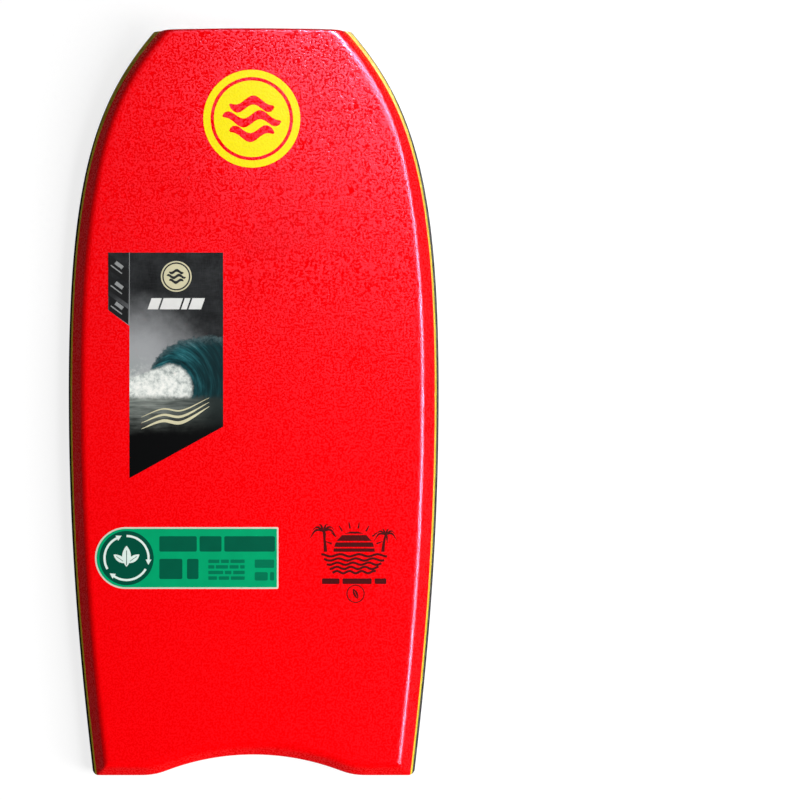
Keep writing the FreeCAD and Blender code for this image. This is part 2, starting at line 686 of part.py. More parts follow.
def draw_core_sticker(sketch):
    """A strip with a half-round left end and two small round corners at its right."""
    height, corner = size("sticker_height"), size("sticker_corner_radius")
    foot = TAIL_Y + size("sticker_foot")
    right, bow_x = size("sticker_right"), size("sticker_left") + height / 2
    low = add_line(sketch, (bow_x, foot), (right - corner, foot))
    low_corner = add_arc(sketch, (right - corner, foot + corner), corner, 270, 360)
    side = add_line(sketch, (right, foot + corner), (right, foot + height - corner))
    top_corner = add_arc(sketch, (right - corner, foot + height - corner), corner, 0, 90)
    top = add_line(sketch, (right - corner, foot + height), (bow_x, foot + height))
    bow = add_arc(sketch, (bow_x, foot + height / 2), height / 2, 90, 270)
    loop = [low, low_corner, side, top_corner, top, bow]
    for first, second in zip(loop, loop[1:] + loop[:1]):
        join(sketch, first, second, "Tangent")
    sketch.addConstraint(Sketcher.Constraint("Horizontal", low))
    set_radius(sketch, low_corner, "Sizes.sticker_corner_radius")
    set_radius(sketch, top_corner, "Sizes.sticker_corner_radius")
    pin(sketch, low, START, "Sizes.sticker_left + Sizes.sticker_height / 2",
        from_tail("Sizes.sticker_foot"))
    pin(sketch, side, START, x_rule="Sizes.sticker_right")
    set_radius(sketch, bow, "Sizes.sticker_height / 2")


deck_film = cut("deck_film", ceiling("label_top", "Sizes.board_thickness + Sizes.label_thickness"),
                deck_top)
slick_film = cut("slick_film", ceiling("board_underside", "0"),
                 ceiling("label_underside", "-Sizes.label_thickness"))
deck_label = common("deck_label", deck_film, label_prism("deck_label_prism", draw_deck_label))
core_sticker = common("core_sticker", deck_film, label_prism("sticker_prism", draw_core_sticker))
slick_label = common("slick_label", slick_film, label_prism("slick_label_prism", draw_slick_label))


# ------------------------------------------------------------------ checks and files

pieces = [deck_skin, core, slick_mesh, slick, *inner_rails, *outer_rails, nose_strip, tail_strip,
          stringer_tube, plug_front, plug_rear, deck_label, core_sticker, slick_label]
for piece in pieces:
    piece.Label = piece.Name
    piece.setExpression("Placement.Base.z", "Sizes.label_thickness")
doc.recompute()

for item in doc.Objects:
    if {"Invalid", "Error"} & set(item.State):
        raise RuntimeError(f"{item.Name} did not build: {item.State}")
for piece in pieces:
    if piece.Shape.isNull() or not piece.Shape.isValid() or len(piece.Shape.Solids) != 1:
        raise RuntimeError(f"{piece.Label} is not one valid solid")

os.makedirs("parts", exist_ok=True)
for piece in pieces:
    piece.Shape.exportStep(f"parts/{piece.Label}.step")
    print(piece.Label, round(piece.Shape.Volume / 1000, 1), "cm3")
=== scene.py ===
import math

import bmesh
import bpy
import numpy as np
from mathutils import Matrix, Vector
from mathutils.geometry import delaunay_2d_cdt


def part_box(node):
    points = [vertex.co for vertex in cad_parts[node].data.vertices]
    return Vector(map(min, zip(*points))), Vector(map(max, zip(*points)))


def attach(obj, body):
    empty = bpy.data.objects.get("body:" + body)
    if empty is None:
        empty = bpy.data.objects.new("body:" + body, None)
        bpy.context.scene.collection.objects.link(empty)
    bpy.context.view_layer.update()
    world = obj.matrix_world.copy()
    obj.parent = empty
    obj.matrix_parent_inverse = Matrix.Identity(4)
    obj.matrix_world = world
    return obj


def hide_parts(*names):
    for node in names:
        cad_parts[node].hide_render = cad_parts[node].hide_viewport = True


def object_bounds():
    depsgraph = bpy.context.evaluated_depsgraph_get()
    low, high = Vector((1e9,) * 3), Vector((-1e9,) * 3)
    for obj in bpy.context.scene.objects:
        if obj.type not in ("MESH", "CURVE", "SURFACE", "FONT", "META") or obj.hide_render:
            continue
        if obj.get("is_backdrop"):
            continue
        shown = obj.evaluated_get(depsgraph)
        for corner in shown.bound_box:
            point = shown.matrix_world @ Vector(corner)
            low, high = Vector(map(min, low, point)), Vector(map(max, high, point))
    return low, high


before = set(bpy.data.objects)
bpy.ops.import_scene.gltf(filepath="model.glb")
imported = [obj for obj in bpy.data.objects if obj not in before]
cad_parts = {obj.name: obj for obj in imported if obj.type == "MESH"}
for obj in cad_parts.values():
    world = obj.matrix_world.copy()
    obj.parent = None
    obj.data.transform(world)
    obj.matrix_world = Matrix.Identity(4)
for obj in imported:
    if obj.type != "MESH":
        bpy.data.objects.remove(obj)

# The bodyboard's visible pieces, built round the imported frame. Lengths here are in
# millimetres, in the frame's own axes, and become metres only where a mesh is made.
MM = 0.001
CAD_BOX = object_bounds()


def span(node):
    """A CAD node's lowest and highest corner, in millimetres."""
    low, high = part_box(node)
    return np.array(low) / MM, np.array(high) / MM


# ---- the board's sizes

TAIL_Y, NOSE_Y = CAD_BOX[0].y / MM, CAD_BOX[1].y / MM
LENGTH = NOSE_Y - TAIL_Y
WIDE_HALF = CAD_BOX[1].x / MM
SLICK_Z = span("slick")[0][2]

# plan outline: two curves a side, a crescent tail between two lobes, a bowed nose
WIDE_Y = TAIL_Y + 552
TAIL_HALF = 231
TAIL_HANDLE = (253.4, TAIL_Y + 190)
WIDE_TAIL_HANDLE = (WIDE_HALF, WIDE_Y - 200)
WIDE_NOSE_HANDLE = (WIDE_HALF, WIDE_Y + 297)
NOSE_HANDLE = (230.4, NOSE_Y - 103.6)
NOSE_HALF, NOSE_CROWN = 141, 2.2
NOSE_CORNER_X, NOSE_CORNER_RADIUS = 135.5, 12
TAIL_CORNER_X, TAIL_CORNER_RADIUS = 222.1, 10
CRESCENT_DEPTH, CRESCENT_RADIUS, LOBE_RADIUS = 29.6, 350, 95

# side profile
THICKNESS = 57
RISE_Y, RISE_RADIUS = TAIL_Y + 650, 2730

# rail section: n is measured in from the widest outline, z up from the slick
FOOT_N, APEX_Z, FACE_TOP = 9.7, 23, (0.4, 29.5)
CHINE_FOOT, RIDGE_N = (6.4, 35), 22.4
SEAM_LOW_N, SEAM_HIGH, SEAM_TOP = 16.6, (5.2, 25), (3.2, 32)
YELLOW_LOW, YELLOW_STEP_Z = 7.4, 26
SKIN_EDGE, LAND = (5.8, 34.45), (10.65, 30.9)
TAPER_Y, NOSE_BLACK_SHARE, NOSE_CHINE_SHARE = TAIL_Y + 800, 0.3, 0.65

# layers
SKIN, SLICK = 5, 1.5
TAIL_STRIP, NOSE_STRIP = 4, 3
BEVEL_RUN = 16
BEVEL_RISE = THICKNESS - CHINE_FOOT[1]
BEVEL_SLOPE = BEVEL_RISE / BEVEL_RUN
TAIL_FACE_TOP = CHINE_FOOT[1]
TAIL_FACE_STEP = TAIL_FACE_TOP - SKIN * math.hypot(BEVEL_RUN, BEVEL_RISE) / BEVEL_RUN

# tail channels: depth and feet 25 mm past the tail, and where they run out
CHANNEL_START, CHANNEL_END = TAIL_Y - 25, TAIL_Y + 250
CHANNEL_DEPTH, CHANNEL_TIP_DEPTH = 8.5, -0.5
CHANNEL_INNER, CHANNEL_OUTER = (133, 197), (203.5, 213)
CHANNEL_INNER_RUN, CHANNEL_OUTER_RUN = 12, 4

# how softly edges turn
RIDGE_RADIUS = 13
CRESCENT_RIDGE_RADIUS = 24
NOSE_ROUND = 4.5
UNEVEN = 0.22


# ---- plan outline

def bezier(p0, p1, p2, p3, count=240):
    t = np.linspace(0, 1, count)[:, None]
    a, b, c, d = (np.array(p, float) for p in (p0, p1, p2, p3))
    return (1 - t) ** 3 * a + 3 * (1 - t) ** 2 * t * b + 3 * (1 - t) * t ** 2 * c + t ** 3 * d


def side_curve(overrun=25):
    """The outline's right side, carried on straight past both ends."""
    tail = bezier((TAIL_HALF, TAIL_Y), TAIL_HANDLE, WIDE_TAIL_HANDLE, (WIDE_HALF, WIDE_Y))
    nose = bezier((WIDE_HALF, WIDE_Y), WIDE_NOSE_HANDLE, NOSE_HANDLE, (NOSE_HALF, NOSE_Y - NOSE_CROWN))
    curve = np.vstack([tail, nose[1:]])
    before = curve[0] - (curve[1] - curve[0]) * overrun / (curve[1] - curve[0])[1]
    after = curve[-1] + (curve[-1] - curve[-2]) * overrun / (curve[-1] - curve[-2])[1]
    return np.vstack([before, curve, after])


SIDE = side_curve()
SIDE_SLOPE = np.gradient(SIDE[:, 0], SIDE[:, 1])


def half_width(y):
    return np.interp(y, SIDE[:, 1], SIDE[:, 0])


def spread(y):
    """Width across the board of one millimetre measured square to the outline."""
    return np.hypot(1, np.interp(y, SIDE[:, 1], SIDE_SLOPE))


def tail_edge(x):
    """y of the tail's outline at x: crescent, lobe and rounded corner."""
    a = np.abs(x)
    lobe_x = math.sqrt((CRESCENT_RADIUS + LOBE_RADIUS) ** 2
                       - (CRESCENT_RADIUS - CRESCENT_DEPTH + LOBE_RADIUS) ** 2)
    turn_x = lobe_x * CRESCENT_RADIUS / (CRESCENT_RADIUS + LOBE_RADIUS)
    crescent = CRESCENT_DEPTH - CRESCENT_RADIUS + np.sqrt(np.maximum(CRESCENT_RADIUS ** 2 - a ** 2, 0))
    lobe = LOBE_RADIUS - np.sqrt(np.maximum(LOBE_RADIUS ** 2 - (a - lobe_x) ** 2, 0))
    past = np.clip(a - TAIL_CORNER_X, 0, TAIL_CORNER_RADIUS)
    corner = TAIL_CORNER_RADIUS - np.sqrt(TAIL_CORNER_RADIUS ** 2 - past ** 2)
    return TAIL_Y + np.where(a < turn_x, crescent, np.where(a < lobe_x, lobe, corner))


def nose_edge(x):
    """y of the nose's outline at x: a shallow bow and two rounded corners."""
    a = np.abs(x)
    radius = (NOSE_HALF ** 2 + NOSE_CROWN ** 2) / (2 * NOSE_CROWN)
    reach = radius - NOSE_CORNER_RADIUS
    turn_x = NOSE_CORNER_X * radius / reach
    corner_y = math.sqrt(reach ** 2 - NOSE_CORNER_X ** 2)
    bow = np.sqrt(radius ** 2 - np.minimum(a, turn_x) ** 2)
    past = np.clip(a - NOSE_CORNER_X, 0, NOSE_CORNER_RADIUS)
    corner = corner_y + np.sqrt(NOSE_CORNER_RADIUS ** 2 - past ** 2)
    return NOSE_Y - radius + np.where(a < turn_x, bow, corner)


def lift(y):
    """How far the nose lift raises the board at y."""
    run = np.maximum(y - RISE_Y, 0)
    return RISE_RADIUS - np.sqrt(RISE_RADIUS ** 2 - run ** 2)


# ---- sections

def nose_share(y, share):
    """1 along most of the board, easing down to the given share at the nose."""
    t = np.clip((y - TAPER_Y) / (NOSE_Y - TAPER_Y), 0, 1)
    return 1 - (1 - share) * t * t * (3 - 2 * t)


def rail_marks(y):
    """The rail section's corners at y, as (n, z) with z above the slick."""
    one = np.ones_like(y)
    black, chine = nose_share(y, NOSE_BLACK_SHARE), nose_share(y, NOSE_CHINE_SHARE)

    def mark(n, z, share=one):
        return np.stack([n * share, z * one])

    yellow_low = SEAM_LOW_N * black + YELLOW_LOW
    return {
        "foot": mark(FOOT_N, 0, black),
        "apex": mark(0, APEX_Z),
        "face_top": mark(*FACE_TOP),
        "ridge": mark(RIDGE_N, THICKNESS, chine),
        "seam_low": mark(SEAM_LOW_N, 0, black),
        "seam_high": mark(*SEAM_HIGH, black),
        "seam_top": mark(*SEAM_TOP, black),
        "yellow_low": mark(yellow_low, 0),
        "yellow_step": mark(LAND[0], YELLOW_STEP_Z),
        "land": mark(*LAND),
        "skin_edge": mark(*SKIN_EDGE),
    }


def rounded_loop(corners, radii, steps=5):
    """A closed section with each corner eased off: n and z, one row a point."""
    points = np.array(corners)
    loop = []
    for i, radius in enumerate(radii):
        here = points[i]
        back, ahead = points[i - 1] - here, points[(i + 1) % len(points)] - here
        back_length, ahead_length = np.hypot(*back), np.hypot(*ahead)
        cut = np.minimum(radius, 0.45 * np.minimum(back_length, ahead_length))
        start, end = here + back / back_length * cut, here + ahead / ahead_length * cut
        for t in np.linspace(0, 1, steps):
            loop.append((1 - t) ** 2 * start + 2 * t * (1 - t) * here + t ** 2 * end)
    return np.array(loop)


def black_section(y):
    m = rail_marks(y)
    names = ("foot", "apex", "face_top", "seam_top", "seam_high", "seam_low")
    return rounded_loop([m[name] for name in names], (2.5, 7, 3, 0.7, 1, 0.7))


def yellow_section(y):
    m = rail_marks(y)
    names = ("seam_low", "seam_high", "seam_top", "skin_edge", "land", "yellow_step", "yellow_low")
    return rounded_loop([m[name] for name in names], (0.7, 1, 0.7, 0.6, 0.5, 1, 0.7))


# ---- deck, slick and channels

def turn_down(past, radius, slope):
    """Depth of a flat that turns into a downward slope where past is 0, rounded to a radius."""
    angle = np.arctan(slope)
    on_arc = past + radius * np.tan(angle / 2)
    reach = radius * np.sin(angle)
    arc = radius - np.sqrt(np.maximum(radius ** 2 - np.clip(on_arc, 0, reach) ** 2, 0))
    return np.where(on_arc < reach, arc, slope * past)


def round_over(inset, radius):
    """Depth of a quarter-round edge at a distance in from the edge."""
    past = np.clip(radius - inset, 0, radius)
    return radius - np.sqrt(radius ** 2 - past ** 2)


def unevenness(x, y):
    """The slow waviness of hot-laminated foam, from 0 to 1."""
    waves = (np.sin(x / 47 + 1.3) * np.sin(y / 71 + 0.4) + np.sin(x / 33 - y / 58 + 2.1)
             + 0.7 * np.sin(y / 29 + x / 90 + 0.8))
    return 0.5 + waves / 5.4


def deck_height(x, y):
    """z of the deck: flat, with a bevel along each side and along the tail, and a rounded nose."""
    chine = nose_share(y, NOSE_CHINE_SHARE)
    ridge = RIDGE_N * chine
    n = (half_width(y) - np.abs(x)) / spread(y)
    side = turn_down(ridge - n, RIDGE_RADIUS, BEVEL_RISE / (ridge - CHINE_FOOT[0]))
    middle = np.clip(1 - np.abs(x) / 190, 0, 1)
    tail_radius = RIDGE_RADIUS + (CRESCENT_RIDGE_RADIUS - RIDGE_RADIUS) * middle ** 0.7
    tail = turn_down(tail_edge(x) + BEVEL_RUN - y, tail_radius, BEVEL_SLOPE)
    low, high = np.minimum(side, tail), np.maximum(side, tail)
    blend = np.clip(np.minimum(0.8 * low, 1.2 * (BEVEL_RISE - high)), 1e-6, 6)
    overlap = np.maximum(blend - (high - low), 0) / blend
    depth = high + overlap ** 2 * blend / 4
    depth = depth + round_over(y - tail_edge(x), 1.4) + round_over(nose_edge(x) - y, NOSE_ROUND)
    flat = np.clip(1 - depth / 3, 0, 1)
    return SLICK_Z + lift(y) + THICKNESS - depth - UNEVEN * unevenness(x, y) * flat


def skin_underside(x, y):
    """z of the deck skin's inner face."""
    chine = nose_share(y, NOSE_CHINE_SHARE)
    run = RIDGE_N * chine - CHINE_FOOT[0]
    n = (half_width(y) - np.abs(x)) / spread(y)
    ridge = LAND[0] + (THICKNESS - SKIN - LAND[1]) * run / BEVEL_RISE
    side = np.maximum(ridge - n, 0) * BEVEL_RISE / run
    tail_rise = TAIL_FACE_STEP + (y - tail_edge(x)) * BEVEL_SLOPE
    level = np.minimum(THICKNESS - SKIN - side, tail_rise)
    return SLICK_Z + lift(y) + np.maximum(level, TAIL_FACE_STEP)


def soft_step(value, softness):
    """0 below 0 and value above it, eased over the softness."""
    return 0.5 * (value + np.sqrt(value ** 2 + softness ** 2))


def channel_height(x, y):
    """How far a tail channel lifts the slick at x, y."""
    along = (y - CHANNEL_START) / (CHANNEL_END - CHANNEL_START)
    depth = CHANNEL_DEPTH + (CHANNEL_TIP_DEPTH - CHANNEL_DEPTH) * along
    inner = CHANNEL_INNER[0] + (CHANNEL_INNER[1] - CHANNEL_INNER[0]) * along
    outer = CHANNEL_OUTER[0] + (CHANNEL_OUTER[1] - CHANNEL_OUTER[0]) * along
    a = np.abs(x)
    up = (a - inner) * CHANNEL_DEPTH / CHANNEL_INNER_RUN
    down = (outer - a) * CHANNEL_DEPTH / CHANNEL_OUTER_RUN
    walls = down - soft_step(down - up, 1.2)
    roof = depth - soft_step(depth - walls, 1)
    return np.maximum(soft_step(roof, 0.8) - 0.05, 0) * np.clip((CHANNEL_END + 10 - y) / 30, 0, 1)


def slick_height(x, y):
    return SLICK_Z + lift(y) + channel_height(x, y)


# ---- laying out points

ALONG = np.linspace(TAIL_Y - 20, NOSE_Y + 20, 2400)


def first_inside(inside):
    """Where each row of a signed distance along ALONG first comes up through 0."""
    i = np.maximum(np.argmax(inside >= 0, axis=1), 1)
    rows = np.arange(len(inside))
    before, after = inside[rows, i - 1], inside[rows, i]
    share = np.clip(-before / np.maximum(after - before, 1e-9), 0, 1)
    return i - 1 + share


def ends_of(x):
    """y where each track of half widths x, given along ALONG, meets the tail and nose edges."""
    step = ALONG[1] - ALONG[0]
    start = first_inside(ALONG - tail_edge(x))
    finish = first_inside((nose_edge(x) - ALONG)[:, ::-1])
    return ALONG[0] + start * step, ALONG[-1] - finish * step


def along_rows(start, finish, rows):
    """y of every row on every track: evenly off the tail edge, then evenly off the nose edge."""
    t = np.clip((rows - 80) / (LENGTH - 160), 0, 1)
    share = t * t * (3 - 2 * t)
    return (1 - share) * (start[:, None] + rows) + share * (finish[:, None] - LENGTH + rows)


def read_tracks(values, y):
    return np.array([np.interp(line, ALONG, value) for line, value in zip(y, values)])


def side_rows(tail_steps, nose_steps, pitch):
    """Row places from the tail, close together near both ends."""
    tail, nose = np.cumsum(tail_steps), np.cumsum(nose_steps)
    count = int((LENGTH - tail[-1] - nose[-1]) / pitch)
    middle = np.linspace(tail[-1], LENGTH - nose[-1], count + 1)[1:-1]
    return np.concatenate([tail, middle, (LENGTH - nose)[::-1]])


def across_tracks(edge, ridge, zone, count):
    """Half widths of the tracks of a layer, from the middle out to its edge.

    zone holds distances in from the ridge (negative is outside it, as a share of the bevel),
    largest first."""
    width, stretch = half_width(ALONG), spread(ALONG)
    inner_n = ridge + zone[0]
    inner = width - inner_n * stretch
    tracks = [share * inner for share in np.linspace(0, 1, count)]
    for place in zone[1:]:
        n = ridge + place if place >= 0 else ridge + place * (ridge - edge)
        tracks.append(width - n * stretch)
    return np.array(tracks)


# ---- mesh making

def make_piece(name, points, faces, materials, face_materials=None, crease_deg=35):
    """A smooth-shaded mesh from points in millimetres."""
    mesh = bpy.data.meshes.new(name)
    mesh.from_pydata((np.asarray(points) * MM).tolist(), [], faces)
    for material in materials:
        mesh.materials.append(material)
    if face_materials is not None:
        mesh.polygons.foreach_set("material_index", face_materials)
    cleaned = bmesh.new()
    cleaned.from_mesh(mesh)
    bmesh.ops.remove_doubles(cleaned, verts=cleaned.verts, dist=1e-7)
    bmesh.ops.dissolve_degenerate(cleaned, edges=cleaned.edges, dist=1e-7)
    bmesh.ops.recalc_face_normals(cleaned, faces=cleaned.faces)
    for face in cleaned.faces:
        face.smooth = True
    cleaned.to_mesh(mesh)
    cleaned.free()
    mesh.set_sharp_from_angle(angle=math.radians(crease_deg))
    piece = bpy.data.objects.new(name, mesh)
    bpy.context.scene.collection.objects.link(piece)
    return piece


def grid_faces(rows, columns, start=0):
    return [(start + r * columns + c, start + r * columns + c + 1,
             start + (r + 1) * columns + c + 1, start + (r + 1) * columns + c)
            for r in range(rows - 1) for c in range(columns - 1)]


def rim(rows, columns):
    """Indices round the edge of a grid, in order."""
    top = list(range(columns))
    right = [r * columns + columns - 1 for r in range(1, rows)]
    bottom = [(rows - 1) * columns + c for c in range(columns - 2, -1, -1)]
    left = [r * columns for r in range(rows - 2, 0, -1)]
    return top + right + bottom + left


def sandwich(name, upper, under, materials):
    """A closed piece between two grids of points with the same layout."""
    rows, columns = upper.shape[:2]
    count = rows * columns
    faces = grid_faces(rows, columns) + grid_faces(rows, columns, count)
    edge = rim(rows, columns)
    faces += [(a, b, b + count, a + count) for a, b in zip(edge, edge[1:] + edge[:1])]
    points = np.vstack([upper.reshape(-1, 3), under.reshape(-1, 3)])
    return make_piece(name, points, faces, materials)


def tube(name, rings, materials):
    """A closed piece through rings of points, one ring a row, with flat ends."""
    rows, count = rings.shape[:2]
    faces = [(r * count + i, r * count + (i + 1) % count,
              (r + 1) * count + (i + 1) % count, (r + 1) * count + i)
             for r in range(rows - 1) for i in range(count)]
    faces += [tuple(range(count)), tuple((rows - 1) * count + i for i in range(count))]
    return make_piece(name, rings.reshape(-1, 3), faces, materials)


def both_sides(half):
    """A grid over the whole width from its right half, whose first track is the middle."""
    left = half[:, :0:-1].copy()
    left[:, :, 0] *= -1
    return np.concatenate([left, half], axis=1)


def finish_piece(piece, nodes=()):
    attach(piece, "root")
    if nodes:
        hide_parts(*nodes)
    return piece


# ---- foam and plastic pieces

RIDGE_ZONE = (22, 15, 10, 6.5, 4.6, 3.6, 2.7, 1.9, 1.1, 0.4, -0.03, -0.07, -0.11, -0.15, -0.2,
              -0.3, -0.45, -0.6, -0.75, -0.88, -0.965, -1)
TAIL_STEPS = (0, 0.15, 0.3, 0.45, 0.6, 2, 2.5, 2, 1.5, 1.2, 1.1, 1, 1, 1, 1.2, 1.4, 1.6, 1.8, 2.2,
              2.8, 3.5, 4.5, 6)
NOSE_STEPS = (0, 0.1, 0.25, 0.4, 0.6, 0.75, 0.9, 1.2, 1.6, 2.2, 3, 4, 5.5)


def deck_skin(material):
    """Deck, side bevels and tail bevel in one sheet of foam."""
    ridge = RIDGE_N * nose_share(ALONG, NOSE_CHINE_SHARE)
    half_tracks = across_tracks(SKIN_EDGE[0], ridge, RIDGE_ZONE, 28)
    rows = side_rows(TAIL_STEPS, NOSE_STEPS, 7)
    y = along_rows(*ends_of(half_tracks), rows)
    x = read_tracks(half_tracks, y)
    upper = np.stack([x, y, deck_height(x, y)], axis=-1)
    edge_z = SLICK_Z + lift(y[-1]) + SKIN_EDGE[1]
    upper[-1, :, 2] = np.minimum(upper[-1, :, 2], edge_z)
    # the inner face starts further in at the sides, where the skin's edge is cut square
    under_tracks = half_tracks.copy()
    shift = np.clip((len(RIDGE_ZONE) - np.arange(len(under_tracks))[::-1]) / len(RIDGE_ZONE), 0, 1)
    under_tracks -= (LAND[0] - SKIN_EDGE[0]) * shift[:, None] * spread(ALONG)
    under_y = along_rows(*ends_of(under_tracks), rows)
    under_x = read_tracks(under_tracks, under_y)
    under = np.stack([under_x, under_y, skin_underside(under_x, under_y)], axis=-1)
    upper, under = (both_sides(grid.transpose(1, 0, 2)) for grid in (upper, under))
    return finish_piece(sandwich("deck_foam_skin", upper, under, [material]),
                        ["deck_skin"])


def rail(side, name, section, material, node):
    """One strip of rail foam, running round one side of the board."""
    loop = section(ALONG)
    tracks = half_width(ALONG) - loop[:, 0] * spread(ALONG)
    rows = side_rows((0, 0.5, 1, 2, 4), (0, 0.5, 1, 2, 3, 4), 6)
    y = along_rows(*ends_of(tracks), rows)
    x, z = read_tracks(tracks, y), read_tracks(loop[:, 1], y)
    rings = np.stack([side * x, y, SLICK_Z + lift(y) + z], axis=-1)
    return finish_piece(tube(name, rings.transpose(1, 0, 2), [material]), [node])


def slick_sheet(material):
    """The hard skin under the board, drawn up into two tail channels."""
    edge_n = SEAM_LOW_N * nose_share(ALONG, NOSE_BLACK_SHARE) + YELLOW_LOW
    edge = half_width(ALONG) - edge_n * spread(ALONG)
    inner = np.interp(ALONG, (CHANNEL_START, CHANNEL_END), CHANNEL_INNER)
    outer = np.interp(ALONG, (CHANNEL_START, CHANNEL_END), CHANNEL_OUTER)
    room = np.clip((NOSE_Y - ALONG) / 400, 0, 1)
    inner = np.minimum(inner, edge * (0.45 + 0.35 * room))
    outer = np.minimum(outer, edge * (0.8 + 0.12 * room))
    inner, outer = inner - 4, outer + 4
    tracks = [share * inner for share in np.linspace(0, 1, 16)]
    for start, end, count in ((inner, outer, 60), (outer, edge, 5)):
        tracks += [start + (end - start) * share for share in np.linspace(0, 1, count)[1:]]
    tracks = np.array(tracks)
    rows = side_rows((TAIL_STRIP, 2, 4), (NOSE_STRIP, 1, 2, 4), 7)
    y = along_rows(*ends_of(tracks), rows)
    x = read_tracks(tracks, y)
    under = np.stack([x, y, slick_height(x, y)], axis=-1)
    upper = under + (0, 0, SLICK)
    upper, under = (both_sides(grid.transpose(1, 0, 2)) for grid in (upper, under))
    return finish_piece(sandwich("slick_sheet", upper, under, [material]), ["slick"])


def strip_half_width(z, y):
    """Half width between the yellow rails at height z above the slick."""
    m = rail_marks(np.atleast_1d(y))
    low, step, land = m["yellow_low"][:, 0], m["yellow_step"][:, 0], m["land"][:, 0]
    chine = nose_share(y, NOSE_CHINE_SHARE)
    run = (RIDGE_N * chine - CHINE_FOOT[0]) / BEVEL_RISE
    heights = (low[1], step[1], land[1], THICKNESS - SKIN)
    places = (low[0], step[0], land[0], land[0] + (THICKNESS - SKIN - land[1]) * run)
    return float(half_width(y) - np.interp(z, heights, places) * spread(y))


def end_strip(name, node, material, shares, loop, end_y, edge, way):
    """Foam along one end, between slick and deck skin; way is 1 at the tail and -1 at the nose."""
    rings = []
    for share in shares:
        ring = []
        for inset, z in loop:
            x = share * strip_half_width(z, end_y + way * inset)
            y = float(edge(x)) + way * inset
            channel = float(channel_height(x, y)) * max(0, 1 - z / 6)
            ring.append((x, y, SLICK_Z + float(lift(y)) + z + channel))
        rings.append(ring)
    return finish_piece(tube(name, np.array(rings), [material]), [node])


def tail_foam_strip(material):
    """The tail's strip, with its points closer together towards the rails."""
    even = np.linspace(-1, 1, 161)
    shares = np.sin(even * math.pi / 2) * 0.3 + even * 0.7
    inner_top = TAIL_FACE_STEP + TAIL_STRIP * BEVEL_SLOPE
    loop = rounded_loop([(0, 0), (0, TAIL_FACE_STEP), (TAIL_STRIP, inner_top), (TAIL_STRIP, 0)],
                        (1.2, 0.6, 0.4, 0.4))
    return end_strip("tail_foam_strip", "tail_strip", material, shares, loop, TAIL_Y, tail_edge, 1)


def nose_foam_strip(material):
    """The nose's strip, with levels up its face so that it follows the rails."""
    top = THICKNESS - SKIN
    loop = rounded_loop([(0, 0), (0, top), (NOSE_STRIP, top), (NOSE_STRIP, 0)], (1, 0.3, 0.3, 0.3))
    levels = [(0, z) for z in np.linspace(4, top - 4, 9)]
    loop = np.vstack([loop[:5], levels, loop[5:]])
    return end_strip("nose_foam_strip", "nose_strip", material, np.linspace(-1, 1, 61), loop,
                     NOSE_Y - NOSE_CROWN, nose_edge, -1)


# ---- flat shapes for prints

def circle(centre, radius, count=72, start_deg=0, end_deg=360):
    closed = end_deg - start_deg >= 360
    turns = np.radians(np.linspace(start_deg, end_deg, count, endpoint=not closed))
    return np.stack([centre[0] + radius * np.cos(turns), centre[1] + radius * np.sin(turns)], axis=1)


def ring(centre, outer, inner, count=96):
    return [circle(centre, outer, count), circle(centre, inner, count)]


def bar(left, low, right, high, radius=0.0):
    """A rectangle with rounded corners."""
    if radius == 0:
        return np.array([(left, low), (right, low), (right, high), (left, high)], float)
    corners = [((right - radius, high - radius), 0), ((left + radius, high - radius), 90),
               ((left + radius, low + radius), 180), ((right - radius, low + radius), 270)]
    return np.vstack([circle(centre, radius, 7, start, start + 90) for centre, start in corners])


def stroke(points, widths):
    """The outline of a line drawn with a pen of the given width or widths."""
    line = np.array(points, float)
    wide = np.broadcast_to(np.asarray(widths, float), len(line))[:, None] / 2
    way = np.gradient(line, axis=0)
    way /= np.linalg.norm(way, axis=1)[:, None]
    across = np.stack([-way[:, 1], way[:, 0]], axis=1)
    return np.vstack([line + across * wide, (line - across * wide)[::-1]])


def curve_through(points, count=40):
    """A smooth line through a few points, evenly parametrised."""
    line = np.array(points, float)
    keys = np.concatenate([[0], np.cumsum(np.linalg.norm(np.diff(line, axis=0), axis=1))])
    padded = np.vstack([2 * line[0] - line[1], line, 2 * line[-1] - line[-2]])
    where = np.linspace(0, keys[-1], count)
    out = []
    for s in where:
        i = min(int(np.searchsorted(keys, s, side="right")) - 1, len(line) - 2)
        t = (s - keys[i]) / (keys[i + 1] - keys[i])
        a, b, c, d = padded[i:i + 4]
        out.append(0.5 * (2 * b + (c - a) * t + (2 * a - 5 * b + 4 * c - d) * t ** 2
                          + (3 * b - a - 3 * c + d) * t ** 3))
    return np.array(out)


def moved(loops, origin, scale=1.0, turn_deg=0.0):
    c, s = math.cos(math.radians(turn_deg)), math.sin(math.radians(turn_deg))
    spin = np.array([(c, -s), (s, c)])
    return [(np.asarray(loop, float) * scale) @ spin.T + origin for loop in loops]


def inside_loops(points, loops):
    """Even-odd test of points against a figure's loops."""
    odd = np.zeros(len(points), bool)
    for loop in loops:
        ahead = np.roll(loop, -1, axis=0)
        for (x0, y0), (x1, y1) in zip(loop, ahead):
            if y0 == y1:
                continue
            crosses = (points[:, 1] < y0) != (points[:, 1] < y1)
            at = x0 + (points[:, 1] - y0) * (x1 - x0) / (y1 - y0)
            odd ^= crosses & (points[:, 0] < at)
    return odd


def inside_figures(points, figures):
    """A point is inside if any figure holds it, and a figure's own inner loops are holes."""
    found = np.zeros(len(points), bool)
    for loops in figures:
        found |= inside_loops(points, loops)
    return found


def divided(loop, pitch):
    """The loop with points added along its long edges."""
    out = []
    for here, ahead in zip(loop, np.roll(loop, -1, axis=0)):
        parts = max(1, math.ceil(np.hypot(*(ahead - here)) / pitch))
        out += [here + (ahead - here) * i / parts for i in range(parts)]
    return np.array(out)


